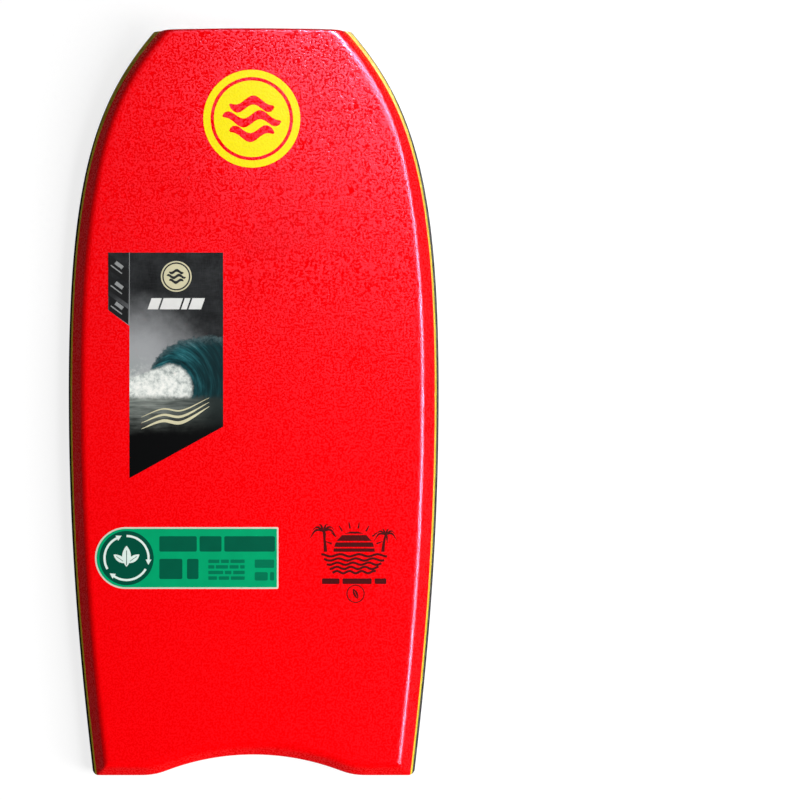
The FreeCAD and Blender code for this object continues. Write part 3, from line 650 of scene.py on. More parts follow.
def fill(figures, pitch=6.0):
    """Triangles that fill the figures, with points inside so that they can follow a surface."""
    loops = [divided(loop, pitch) for figure in figures for loop in figure]
    outline = np.vstack(loops)
    edges, start = [], 0
    for loop in loops:
        edges += [(start + i, start + (i + 1) % len(loop)) for i in range(len(loop))]
        start += len(loop)
    low, high = outline.min(0), outline.max(0)
    gx, gy = np.meshgrid(np.arange(low[0] + pitch / 2, high[0], pitch),
                         np.arange(low[1] + pitch / 2, high[1], pitch))
    filling = np.stack([gx.ravel(), gy.ravel()], axis=1)
    filling = filling[inside_figures(filling, figures)] if len(filling) else filling
    spots = [Vector(p) for p in outline.tolist() + filling.tolist()]
    points, _, faces, *_ = delaunay_2d_cdt(spots, edges, [], 0, 1e-4)
    points = np.array([tuple(p) for p in points])
    faces = np.array([f for f in faces if len(f) == 3])
    kept = faces[inside_figures(points[faces].mean(axis=1), figures)]
    used, renumbered = np.unique(kept, return_inverse=True)
    return points[used], renumbered.reshape(kept.shape)


def film(figures, low, high, surface, facing=1):
    """Points and faces of a thin closed sheet lying low to high above a surface."""
    flat, triangles = fill(figures)
    count = len(flat)
    base = surface(flat[:, 0], flat[:, 1])
    points = np.vstack([np.column_stack([flat, base + facing * high]),
                        np.column_stack([flat, base + facing * low])])
    faces = [tuple(t) for t in triangles.tolist()] + [tuple(t) for t in (triangles + count).tolist()]
    sides = {}
    for a, b, c in triangles.tolist():
        for edge in ((a, b), (b, c), (c, a)):
            if (edge[1], edge[0]) in sides:
                del sides[edge[1], edge[0]]
            else:
                sides[edge] = True
    faces += [(a, b, b + count, a + count) for a, b in sides]
    return points, faces


def print_layers(name, layers, surface, facing=1):
    """One piece made of thin layers: (figures, low, high, material), lowest first."""
    points, faces, indices, materials = [], [], [], []
    start = 0
    for figures, low, high, material in layers:
        layer_points, layer_faces = film(figures, low, high, surface, facing)
        points.append(layer_points)
        faces += [tuple(i + start for i in face) for face in layer_faces]
        indices += [len(materials)] * len(layer_faces)
        materials.append(material)
        start += len(layer_points)
    return make_piece(name, np.vstack(points), faces, materials, indices, 20)


# ---- materials

class Value:
    """A shader value. Sums of values add the Math nodes that work them out."""

    def __init__(self, paint, socket):
        self.paint, self.socket = paint, socket

    def __add__(self, other):
        return self.paint.math("ADD", self, other)

    def __sub__(self, other):
        return self.paint.math("SUBTRACT", self, other)

    def __rsub__(self, other):
        return self.paint.math("SUBTRACT", other, self)

    def __mul__(self, other):
        return self.paint.math("MULTIPLY", self, other)

    def __truediv__(self, other):
        return self.paint.math("DIVIDE", self, other)

    def __abs__(self):
        return self.paint.math("ABSOLUTE", self)

    def between(self, low, high):
        """0 at low, 1 at high, eased between."""
        return self.paint.node("MapRange", "Result", {"interpolation_type": "SMOOTHSTEP"},
                               {"Value": self, "From Min": low, "From Max": high})


class Paint:
    """A Principled material with short ways to add nodes. Sizes are in millimetres."""

    def __init__(self, name, **sockets):
        self.material = bpy.data.materials.new(name)
        self.material.use_nodes = True
        self.tree = self.material.node_tree
        self.shader = self.tree.nodes["Principled BSDF"]
        self.place = self.node("TexCoord", "Object")
        for socket, value in sockets.items():
            self.shader.inputs[socket.replace("_", " ")].default_value = value

    def node(self, kind, output, settings=(), inputs=()):
        """Add a node and return one of its outputs."""
        node = self.tree.nodes.new("ShaderNode" + kind)
        for key, value in dict(settings).items():
            setattr(node, key, value)
        for key, value in dict(inputs).items():
            self.feed(node.inputs[key], value)
        return Value(self, node.outputs[output])

    def feed(self, socket, value):
        if isinstance(value, Value):
            self.tree.links.new(value.socket, socket)
        else:
            socket.default_value = value

    def noise(self, size_mm, detail=2.0, rough=0.5, place=None):
        return self.node("TexNoise", "Fac", {}, {"Vector": place or self.place, "Detail": detail,
                                                 "Scale": 1 / (size_mm * MM), "Roughness": rough})

    def math(self, operation, a, b=0.0):
        return self.node("Math", 0, {"operation": operation}, {0: a, 1: b})

    def reach(self, a, b):
        """Distance from the origin of a point at a, b."""
        return self.math("SQRT", a * a + b * b)

    def ramp(self, factor, *stops):
        colour = self.node("ValToRGB", "Color", {}, {"Fac": factor})
        elements = colour.socket.node.color_ramp.elements
        while len(elements) < len(stops):
            elements.new(0.5)
        for element, (place, shade) in zip(elements, stops):
            element.position = place
            element.color = (*shade, 1)
        return colour

    def mix(self, factor, a, b):
        first, second = (c if isinstance(c, Value) else (*c, 1) for c in (a, b))
        return self.node("Mix", 2, {"data_type": "RGBA"}, {0: factor, 6: first, 7: second})

    def measured(self, x, y, unit):
        """Coordinates across and up from a corner, in steps of one unit."""
        place = self.node("Mapping", "Vector", {"vector_type": "TEXTURE"}, {
            "Vector": self.place, "Location": (x * MM, y * MM, 0), "Scale": (unit * MM,) * 3})
        return self.split(place)[:2]

    def streaks(self, across, along, detail=3.0):
        """Noise stretched along one direction."""
        return self.node("TexNoise", "Fac", {}, {
            "Vector": self.join(across, along), "Scale": 1.0, "Detail": detail, "Roughness": 0.6})

    def wander(self, size_mm, amount):
        """Noise centred on nothing, for ragged edges."""
        return (self.noise(size_mm, 4, 0.62) - 0.5) * amount

    def split(self, vector):
        first = self.node("SeparateXYZ", 0, {}, {"Vector": vector})
        return [Value(self, output) for output in first.socket.node.outputs]

    def join(self, x, y, z=0.0):
        return self.node("CombineXYZ", 0, {}, {0: x, 1: y, 2: z})

    def colour(self, value):
        self.feed(self.shader.inputs["Base Color"], value)

    def rough(self, value):
        self.feed(self.shader.inputs["Roughness"], value)

    def bump(self, height, depth_mm):
        normal = self.node("Bump", "Normal", {}, {"Height": height, "Distance": depth_mm * MM})
        self.feed(self.shader.inputs["Normal"], normal)


def pitted(paint, size_mm, depth_mm):
    """Closed-cell foam's close, pitted grain. Returns 0 in the pits and 1 between them."""
    pits = paint.noise(size_mm, 1).between(0.4, 0.56)
    grain = paint.noise(size_mm * 0.4, 2, 0.55)
    paint.bump(pits * 0.6 + grain * 0.5, depth_mm)
    return pits


def foam(name, light, dark, size_mm, depth_mm, roughness, **sockets):
    """Foam in two close tones: the darker tone fills the pits as painted shade, a slow random drift moves
    the tone over the board, and the pits are shinier.
    """
    paint = Paint(name, Roughness=roughness, **sockets)
    pits = pitted(paint, size_mm, depth_mm)
    # the pits take the darker colour, which is painted shade in the pits, over a faint random drift in tone
    tone = pits * 0.7 + paint.noise(55, 3, 0.55) * 0.2
    paint.colour(paint.ramp(tone, (0.15, dark), (0.75, light)))
    paint.rough(pits * (roughness * 0.66) + roughness * 0.34)
    return paint.material


# the second, darker colour of each foam below is painted shade for the pits of its grain
def red_foam():
    return foam("red_foam", (0.93, 0.0, 0.001), (0.87, 0.0, 0.001), 2.7, 0.12, 0.36,
                Specular_IOR_Level=0.1, Specular_Tint=(1.0, 0.62, 1.0, 1))


def black_foam():
    return foam("black_foam", (0.012, 0.011, 0.01), (0.005, 0.0045, 0.004), 2.6, 0.3, 0.7,
                Specular_IOR_Level=0.08)


def yellow_foam():
    return foam("yellow_foam", (0.5, 0.39, 0.022), (0.4, 0.29, 0.014), 1.6, 0.12, 0.7,
                Specular_IOR_Level=0.05)


def white_core():
    return foam("core_foam", (0.88, 0.88, 0.85), (0.74, 0.74, 0.7), 2.4, 0.2, 0.8,
                Specular_IOR_Level=0.3)


def woven_mesh(pitch_mm=5):
    """Tan plastic threads crossing at right angles, with dark gaps."""
    paint = Paint("mesh_plastic", Roughness=0.45)
    x, y, _ = paint.split(paint.place)
    warp, weft = (abs(paint.math("SINE", way * (math.pi / (pitch_mm * MM)))) for way in (x, y))
    thread = paint.math("MAXIMUM", warp, weft)
    paint.colour(paint.ramp(thread, (0.7, (0.16, 0.13, 0.09)), (0.9, (0.62, 0.55, 0.42))))
    paint.bump(thread, 0.3)
    return paint.material


def carbon(pitch_mm=3):
    """Twill-woven carbon fibre under clear resin."""
    paint = Paint("stringer_carbon", Roughness=0.3, Coat_Weight=0.8, Coat_Roughness=0.06)
    x, y, _ = paint.split(paint.place)
    twill = paint.math("SINE", (x + y) * (2 * math.pi / (pitch_mm * MM))).between(-0.4, 0.4)
    paint.colour(paint.mix(twill, (0.012, 0.012, 0.013), (0.05, 0.05, 0.055)))
    paint.bump(twill, 0.05)
    return paint.material


def moulded(name, colour):
    paint = Paint(name, Roughness=0.5)
    grain = paint.noise(0.6, 2)
    paint.colour(paint.mix(grain, [0.8 * c for c in colour], [1.15 * c for c in colour]))
    paint.bump(grain, 0.04)
    return paint.material


def slick_plastic(pitch_mm=13):
    """Satin grey sheet with the mesh showing through as faint diagonal ribs."""
    paint = Paint("slick_plastic", Roughness=0.34, Specular_IOR_Level=0.5)
    x, y, _ = paint.split(paint.place)
    waves = (paint.math("SINE", (y + x * lean) * (2 * math.pi / (pitch_mm * MM))) for lean in (0.62, -0.62))
    relief = paint.math("MAXIMUM", *(wave.between(0.2, 1.0) for wave in waves))
    paint.bump(relief + paint.noise(1.2, 2) * 0.15, 0.12)
    shade = relief * 0.16 + paint.noise(70, 3) * 0.84
    paint.colour(paint.ramp(shade, (0.2, (0.255, 0.257, 0.245)), (0.8, (0.345, 0.345, 0.33))))
    return paint.material


def ink(name, colour):
    """Ink printed on foam, so the pits show through it, its colour a little darker in them as painted
    shade.
    """
    paint = Paint(name, Roughness=0.36, Specular_IOR_Level=0.06, Specular_Tint=(1.0, 0.9, 0.5, 1))
    pits = pitted(paint, 2.7, 0.1)
    # the ink's colour is 6% darker in the pits, which is painted shade in the pits
    paint.colour(paint.mix(pits, [c * 0.94 for c in colour], colour))
    return paint.material


def vinyl(name, colour, drift=0.12):
    """Printed film: nearly even colour and a faint orange-peel surface."""
    paint = Paint(name, Roughness=0.3, Specular_IOR_Level=0.06)
    paint.colour(paint.mix(paint.noise(18, 3), [c * (1 - drift) for c in colour],
                           [min(1, c * (1 + drift)) for c in colour]))
    paint.bump(paint.noise(2.2, 2), 0.05)
    return paint.material


# ---- printed pictures

def linen_grey(paint, light, dark):
    """A dark, scuffed cloth-like ground."""
    x, y, z = paint.split(paint.place)
    across = paint.noise(1.4, 2, 0.6, paint.join(x, y * 0.12, z))
    down = paint.noise(1.4, 2, 0.6, paint.join(x * 0.12, y, z))
    tone = (across + down) * 0.28 + paint.noise(26, 4, 0.6) * 0.9
    return paint.ramp(tone, (0.45, dark), (0.95, light))


def breaking_wave(paint, u, v, picture):
    """Teal water that curls over a bright mouth open to the left."""
    ragged, ruffled = paint.wander(5, 0.12), paint.wander(13, 0.3)
    # the wave's back rises steeply from the lip's tip, then runs nearly level
    drop = paint.math("EXPONENT", (0.15 - u) * 5.9) * 0.55
    depth = 1.54 - drop - v
    body = (depth + ragged).between(0, 0.04) * (u + ragged).between(0.12, 0.25)
    # the mouth: an arch, lower towards the open side; 1 on its edge
    over, under = paint.math("MAXIMUM", u - 0.42, 0), paint.math("MAXIMUM", 0.42 - u, 0)
    arch = paint.reach(over / 0.26, (v - 0.95) / (0.28 - under * 0.38))
    turn = paint.math("ARCTAN2", v - 0.95, u - 0.42)
    flow = paint.streaks(arch * 6.5, turn * 1.3, 4)
    water = paint.ramp(flow, (0.32, (0.002, 0.012, 0.015)), (0.5, (0.006, 0.05, 0.06)),
                       (0.66, (0.02, 0.13, 0.15)), (0.84, (0.2, 0.36, 0.37)))
    water = paint.mix(u.between(0.55, 0.95) * 0.75, water, (0.004, 0.016, 0.019))
    back = paint.ramp(paint.noise(6, 5, 0.7), (0.35, (0.012, 0.03, 0.035)), (0.7, (0.1, 0.15, 0.16)))
    water = paint.mix(depth.between(0.14, 0), water, back)
    picture = paint.mix(body, picture, water)
    # spray off the lip's tip, then the foam inside the mouth
    spray = abs(v - 1.08).between(0.34, 0.04) * (u + ruffled).between(0.32, -0.05)
    mouth = (arch + ragged * 1.4).between(1.04, 0.86)
    froth = paint.ramp(paint.noise(7, 5, 0.7) * 0.7 + arch * -0.12, (0.14, (0.3, 0.34, 0.33)),
                       (0.3, (0.72, 0.75, 0.71)), (0.42, (0.92, 0.92, 0.87)))
    return paint.mix(paint.math("MAXIMUM", mouth, spray * 0.6), picture, froth)


def wave_picture(low, high):
    """A breaking wave under a grey sky, fading to black at the foot."""
    paint = Paint("wave_print", Roughness=0.3, Specular_IOR_Level=0.05)
    u, v = paint.measured(*low, high[0] - low[0])
    ground = linen_grey(paint, (0.028, 0.03, 0.032), (0.003, 0.0034, 0.004))
    glow = paint.reach(u - 0.1, (v - 1.28) * 1.1)
    haze = (glow + paint.wander(20, 0.25)).between(0.85, 0.08)
    picture = breaking_wave(paint, u, v, paint.mix(haze, ground, (0.34, 0.35, 0.36)))
    ripples = paint.streaks(u * 3, v * 26)
    sea = paint.ramp(ripples, (0.3, (0.05, 0.06, 0.055)), (0.75, (0.3, 0.33, 0.3)))
    sea = paint.mix(u.between(0.25, 0.95), sea, (0.02, 0.028, 0.027))
    picture = paint.mix((v + paint.wander(6, 0.06)).between(0.9, 0.83), picture, sea)
    dark = (v + paint.wander(15, 0.14)).between(0.82, 0.45)
    paint.colour(paint.mix(dark, picture, (0.0022, 0.0024, 0.0026)))
    paint.bump(paint.noise(2.2, 2), 0.04)
    return paint.material


def horizon_picture(low, high):
    """Scuffed dark ground above, a bright sea under clouds below, and dark planks at the foot."""
    paint = Paint("horizon_print", Roughness=0.3, Specular_IOR_Level=0.3)
    u, v = paint.measured(*low, high[1] - low[1])
    picture = linen_grey(paint, (0.05, 0.052, 0.046), (0.003, 0.0033, 0.0033))
    from_sun = u - 0.37
    clouds = paint.streaks(u * 6, v * 26, 5)
    glow = paint.reach(from_sun * 1.7, (v - 0.365) * 7)
    sky = paint.ramp(clouds * 0.7 + 0.28 - glow * 0.6, (0.05, (0.012, 0.02, 0.026)),
                     (0.4, (0.05, 0.085, 0.1)), (0.58, (0.3, 0.38, 0.39)), (0.7, (0.8, 0.84, 0.82)))
    picture = paint.mix((v + paint.wander(40, 0.05)).between(0.475, 0.435), picture, sky)
    sun_path = abs(from_sun).between(0.3, 0)
    glitter = paint.streaks(u * 34, v * 190) + sun_path * (v.between(0.16, 0.36) * 0.2 + 0.08)
    sea = paint.ramp(glitter, (0.4, (0.012, 0.024, 0.028)), (0.56, (0.12, 0.16, 0.17)),
                     (0.7, (0.55, 0.6, 0.58)), (0.82, (0.88, 0.9, 0.86)))
    picture = paint.mix(v.between(0.3625, 0.3605), picture, sea)
    plank = abs(paint.math("SINE", (u - 0.3) / (0.42 - v) * 44)).between(0.05, 0.3)
    wood = paint.mix(plank, (0.001, 0.001, 0.001), (0.03, 0.028, 0.025))
    wood = paint.mix(v.between(0.14, 0.07), wood, (0.003, 0.003, 0.0035))
    paint.colour(paint.mix(v.between(0.146, 0.142), picture, wood))
    paint.bump(paint.noise(2.2, 2), 0.04)
    return paint.material


# ---- prints and labels

# heights above the surface: a label's film and two layers on it, and ink straight on the board,
# which starts just inside the surface
BASE_TOP, INK_1, INK_2 = 0.13, 0.16, 0.19
INK_FOOT, DECK_INK, SLICK_INK = -0.02, 0.05, 0.04


def wave_mark(centre, size):
    """A disc's worth of rolling waves: three crests that narrow to their ends."""
    loops = []
    for level, reach in ((0.42, 0.66), (0.0, 0.86), (-0.42, 0.66)):
        across = np.linspace(-reach, reach, 41)
        middle = level + 0.12 * np.sin(across * 6.5 + level * 3)
        thick = 0.26 * np.sqrt(np.maximum(1 - (across / reach) ** 4, 0)) + 0.004
        loops.append(np.vstack([np.column_stack([across, middle + thick / 2]),
                                np.column_stack([across, middle - thick / 2])[::-1]]))
    return moved(loops, centre, size)


def leaf(centre, size, turn_deg=0.0):
    """A pointed leaf with a slit along its midrib."""
    t = np.linspace(0, 1, 21)
    half = 0.42 * np.sin(math.pi * t) ** 0.8
    spine = np.column_stack([np.zeros_like(t), 2 * t - 1])
    blade = np.vstack([spine + np.column_stack([half, 0 * t]),
                       (spine - np.column_stack([half, 0 * t]))[::-1][1:-1]])
    rib = bar(-0.035, -0.85, 0.035, 0.55)
    return moved([blade, rib], centre, size, turn_deg)


def sprig(centre, size, up, side_size, side_turn, side_reach, side_drop):
    """An upright leaf between two that lean out."""
    leaves = [leaf(np.array(centre) + (0, up), size)]
    for turn in (side_turn, -side_turn):
        way = np.array([-math.sin(math.radians(turn)), math.cos(math.radians(turn))])
        leaves.append(leaf(np.array(centre) + way * side_reach - (0, side_drop), side_size, turn))
    return leaves


def chasing_arrows(centre, radius, width, count=3):
    """Arrows that follow each other round a circle."""
    figures = []
    for i in range(count):
        start = 90 - i * 360 / count
        sweep = 360 / count - 26
        line = circle(centre, radius, 30, start - sweep, start)[::-1]
        figures.append([stroke(line, width)])
        tip, base = line[-1], line[-1] - line[-2]
        way = base / np.linalg.norm(base)
        across = np.array([-way[1], way[0]])
        head = np.array([tip - across * width * 1.3, tip + way * width * 2.4, tip + across * width * 1.3])
        figures.append([head])
    return figures


def rows_of_bars(left, right, top, heights, gap, pattern, radius=0.3):
    """Plain bars where there would be lettering: pattern gives each line's bars and gaps as shares."""
    figures = []
    for height, shares in zip(heights, pattern):
        x = left
        unit = (right - left) / sum(shares)
        for i, share in enumerate(shares):
            if i % 2 == 0:
                figures.append([bar(x, top - height, x + share * unit, top, min(radius, height / 3))])
            x += share * unit
        top -= height + gap
    return figures


def slanting_bars(left, right, low, high, shares, gap, lean=0.35):
    """A row of solid bars with slanting ends, of the given shares of the width."""
    figures = []
    slant = lean * (high - low)
    unit = (right - left - slant - gap * (len(shares) - 1)) / sum(shares)
    x = left
    for share in shares:
        wide = share * unit
        figures.append([np.array([(x, low), (x + wide, low), (x + wide + slant, high), (x + slant, high)])])
        x += wide + gap
    return figures


def swoosh(start, length, rise, spacing, widths):
    """Three long brush strokes that roll once and climb to the right."""
    figures = []
    for i, wide in enumerate(widths):
        low = np.array(start) + (0, i * spacing)
        line = curve_through([low, low + (0.31 * length, 0.36 * rise), low + (0.6 * length, 0.3 * rise),
                              low + (length, rise * (1 - 0.07 * i))], 40)
        figures.append([stroke(line, wide * np.sin(np.linspace(0.1, math.pi - 0.1, 40)) + 0.15)])
    return figures


def deck_emblem():
    """Ring and disc with waves cut out of it, printed on the nose end of the deck."""
    centre = (-0.6, TAIL_Y + 939.5)
    disc = [circle(centre, 54, 120), *wave_mark(centre, 49)]
    return [ring(centre, 69, 58.8, 140), disc]


def palm(foot, height, lean, size):
    """A leaning trunk with a crown of drooping fronds."""
    foot = np.array(foot, float)
    trunk = curve_through([foot, foot + (0.25 * lean, 0.4 * height), foot + (0.6 * lean, 0.75 * height),
                           foot + (lean, height)], 24)
    figures = [[stroke(trunk, np.linspace(5, 2.4, 24))]]
    crown = trunk[-1]
    leaf_width = np.concatenate([np.linspace(1.2, 4.6, 8), np.linspace(4.6, 0.4, 12)])
    for reach, drop in ((-27, -14), (-22, 2), (-10, 13), (9, 13), (22, 3), (26, -12), (4, -19)):
        middle = crown + np.array([reach * 0.55, drop * 0.4 + 8]) * size
        tip = crown + np.array([reach, drop]) * size
        figures.append([stroke(curve_through([crown, middle, tip], 20), leaf_width * size)])
    return figures


def deck_drawing():
    """A low sun over waves between two palms, with plain bars below."""
    cx, cy = 145.0, TAIL_Y + 322.0
    figures = []
    for level, high in ((0, 5), (7, 13.5), (15.5, 24), (26, 29)):
        half_low, half_high = (math.sqrt(29.5 ** 2 - v ** 2) for v in (level, high))
        figures.append([np.array([(cx - half_low, cy + level), (cx + half_low, cy + level),
                                  (cx + half_high, cy + high), (cx - half_high, cy + high)])])
    for deg in range(20, 170, 20):
        way = np.array([math.cos(math.radians(deg)), math.sin(math.radians(deg))])
        start = np.array([cx, cy]) + way * 34
        figures.append([stroke([start, start + way * 4, start + way * 9], (2.4, 2, 1))])
    for i in range(5):
        level = cy - 5 - 6 * i
        half = 47 - 4 * i
        line = [(cx + half * t, level + 1.6 * math.sin(11 * t + i)) for t in np.linspace(-1, 1, 60)]
        figures.append([stroke(line, 3.3)])
    figures += palm((cx - 41, cy), 29, -3, 0.72)
    figures += palm((cx + 41, cy), 24, 4, 0.62)
    figures += rows_of_bars(cx - 46, cx + 46, cy - 38, (8,), 1, ((18, 3, 30, 3, 12),), 1.5)
    figures.append(ring((cx + 2, cy - 60), 13, 11.6, 48))
    figures.append(leaf((cx + 2, cy - 60), 8, 25))
    return figures


def deck_label(surface):
    """Tall dark panel with a slanting foot and a side tab."""
    low, high = span("deck_label")
    foot_left, tab_left, top = low[1], low[0], high[1]
    left, right = high[0] - 134, high[0]
    foot_right, tab_foot, tab_end = foot_left + 73.7, top - 81.9, top - 104.9
    outline = [(tab_left, top), (tab_left, tab_foot), (left, tab_end), (left, foot_left),
               (right, foot_right), (right, top)]
    cream = vinyl("cream_print", (0.62, 0.58, 0.38))
    white = vinyl("white_print", (0.75, 0.75, 0.73))
    grey = vinyl("grey_print", (0.012, 0.0125, 0.013))
    pale_grey = vinyl("pale_grey_print", (0.28, 0.29, 0.29))
    wave = wave_picture((left, foot_left), (right, top))
    middle = (left + right) / 2
    emblem_y = top - 34
    emblem = [ring((middle, emblem_y), 22, 20, 72),
              [circle((middle, emblem_y), 18, 72), *wave_mark((middle, emblem_y), 16)]]
    mark_low = top - 81
    word = slanting_bars(middle - 41, middle + 41, mark_low, mark_low + 16, (18, 34, 10, 22), 2.6)
    plates, marks = [], []
    for i in range(3):
        high_y = top - 3 - 29 * i
        plate = [(tab_left + 1.4, high_y), (tab_left + 1.4, high_y - 22),
                 (left - 1.8, high_y - 41.5), (left - 1.8, high_y - 19.5)]
        plates.append([np.array(plate)])
        anchor = np.array([tab_left + 9, high_y - 13])
        for start, low_y, wide, tall in ((0, 0, 13, 5.2), (-3, -5.5, 20, 1.6)):
            loop = bar(start, low_y, start + wide, low_y + tall, 0.4)
            marks.append(moved([loop], anchor, 1, -37))
    trim = [[bar(left - 0.4, tab_end + 2, left + 0.4, top)]]
    layers = [
        ([[np.array(outline, float)]], 0, BASE_TOP, wave),
        (plates, BASE_TOP, INK_1, grey),
        (marks, INK_1, INK_2, pale_grey),
        (trim, BASE_TOP, INK_1, pale_grey),
        (emblem + swoosh((left + 17, top - 252), 97, 32, 8.5, (4.6, 3.4, 2)), BASE_TOP, INK_1, cream),
        (word, BASE_TOP, INK_1, white),
    ]
    piece = print_layers("deck_label_vinyl", layers, surface)
    return finish_piece(piece, ["deck_label"])


def sticker_outline(left, right, low, high, inset, corner):
    """A strip with a half-round left end and small round corners at its right."""
    bow = (high - low) / 2
    centre = (left + bow, (low + high) / 2)
    round_end = circle(centre, bow - inset, 60, 90, 270)
    low_corner = circle((right - inset - corner, low + inset + corner), corner, 7, 270, 360)
    top_corner = circle((right - inset - corner, high - inset - corner), corner, 7, 0, 90)
    return [np.vstack([round_end, low_corner, top_corner])]


def core_sticker(surface):
    """Green strip with a leaf in a round of arrows."""
    low, high = span("core_sticker")
    left, right, foot, top = low[0], high[0], low[1], high[1]
    border = vinyl("sticker_border", (0.62, 0.6, 0.5))
    green = vinyl("sticker_green", (0.0, 0.335, 0.135))
    dark = vinyl("sticker_dark_green", (0.0, 0.07, 0.04))
    white = vinyl("sticker_white", (0.68, 0.8, 0.74))
    disc = (left + (top - foot) / 2 + 1, (foot + top) / 2)
    arrows = chasing_arrows(disc, 31.5, 3.2)
    leaves = sprig(disc, 15, 2.5, 10.5, 55, 12, 8)
    bars = rows_of_bars(left + 92, right - 5, top - 13, (22,), 1,
                        ((34, 2.5, 20, 2.5, 46),), 2.2)
    bars += rows_of_bars(left + 92, left + 148, foot + 43, (29,), 1, ((20, 4, 10),), 2.4)
    faint = rows_of_bars(left + 162, left + 214, foot + 42, (5,) * 4, 3,
                         ((7, 1, 5, 1, 9), (4, 1, 8, 1, 6, 1, 3), (9, 1, 4, 1, 7), (5, 1, 6, 1, 8)), 0.8)
    faint += rows_of_bars(right - 34, right - 6, foot + 42, (12, 12), 6, ((1,), (6, 1, 2)), 2)
    mid_green = vinyl("sticker_mid_green", (0.0, 0.16, 0.075))
    layers = [
        ([sticker_outline(left, right, foot, top, 0, 2)], 0, BASE_TOP, border),
        ([sticker_outline(left, right, foot, top, 2.3, 1.5)], BASE_TOP, INK_1, green),
        ([[circle(disc, 38.8, 96)]], INK_1, INK_1 + 0.02, dark),
        (arrows + leaves, INK_1 + 0.02, INK_1 + 0.04, white),
        (bars, INK_1, INK_1 + 0.02, vinyl("sticker_bar_green", (0.0, 0.095, 0.05))),
        (faint, INK_1, INK_1 + 0.02, mid_green),
    ]
    piece = print_layers("core_sticker_vinyl", layers, surface)
    return finish_piece(piece, ["core_sticker"])


class View:
    """Places shapes on the slick as they look from below, u to the right and v down from a point."""

    def __init__(self, x, y):
        self.x, self.y = x, y

    def at(self, u, v):
        return (self.x - u, self.y - v)

    def shape(self, *points):
        return [np.array([self.at(u, v) for u, v in points])]

    def line(self, wide, *points):
        return [stroke([self.at(u, v) for u, v in points], wide)]

    def bars(self, left, right, low, high, shares, gap, lean=0.35):
        figures = slanting_bars(left, right, -high, -low, shares, gap, lean)
        return [self.shape(*[(u, -v) for u, v in figure[0]]) for figure in figures]


def cut_open_board(view):
    """The poster's drawing: a black board with a block lifted out, in layers from the back forward."""
    shape = view.shape
    far_side = curve_through([(-32, 120.5), (30, 139), (93, 162), (125, 177)], 30)
    nose = [(127, 185), (77, 211)]
    near_side = curve_through([(77, 211), (50, 204.5), (20, 196.5), (-19.7, 186)], 20)
    tail = curve_through([(-119, 141.5), (-74, 131), (-45, 119.6)], 12)
    notch = [(6.5, 174), (-42.7, 155.2), (-70, 166.7)]
    top = shape(*far_side, *nose, *near_side[1:], *notch, *tail)
    edge_low = curve_through([(-21, 193), (20, 204), (50, 211), (77, 214.5)], 20)
    side_nose = shape(*near_side[::-1], *edge_low[::-1])
    side_tail = shape((-119, 141.5), (-70, 166.7), (-70, 172), (-119, 145.5))
    dark_side = shape((77, 211), (127, 185), (127, 192), (79, 217))
    shadow = shape((-70, 172), (-21, 197), (20, 210), (79, 221), (127, 196), (131, 205), (92, 233),
                   (30, 228), (-36, 210), (-60, 196))
    left_wall = shape((-70, 167.5), (-42.7, 155.8), (-41.5, 167), (-65, 175.5))
    right_wall = shape((-42.7, 155.8), (6, 174.5), (-11, 180.5), (-41.5, 167))
    floor = shape((-65, 175.5), (-41.5, 167), (-11, 180.5), (-22, 187), (-21.5, 197))
    lip = shape((-70, 172.5), (-65, 175.5), (-21.5, 197), (-22.5, 199), (-70, 176))
    block_top = shape((-142, 174), (-102, 162), (-42, 190.5), (-75, 205))
    block_side = shape((-142, 175), (-75, 205.5), (-72, 214), (-95, 206.5), (-142, 180))
    block_end = shape((-75, 205.5), (-42, 191), (-40.5, 202.5), (-70, 215))
    block_seam = shape((-95, 204), (-91, 201), (-75, 205.5), (-72, 214))
    rail_strip = shape((-122, 192), (-118, 190.5), (-71.5, 219), (-71.5, 224.5), (-79, 219))
    rail_strip_2 = shape((-124, 196.5), (-121, 195.5), (-79, 220.5), (-77, 224))
    rod = view.line(1.5, (-72, 115.5), (0, 139), (61, 162.5))
    rod_tip = shape((59, 160), (63, 160), (63, 165), (59, 165))
    sheen = shape((-20, 131), (70, 160), (40, 172), (-30, 148))
    return {
        "shadow": [shadow],
        "top": [top, block_top, block_seam, dark_side],
        "sheen": [sheen],
        "pale": [side_nose, side_tail, block_side, lip],
        "white": [left_wall, right_wall, block_end],
        "tan": [floor, rail_strip, rail_strip_2],
        "rod": [rod, rod_tip],
    }


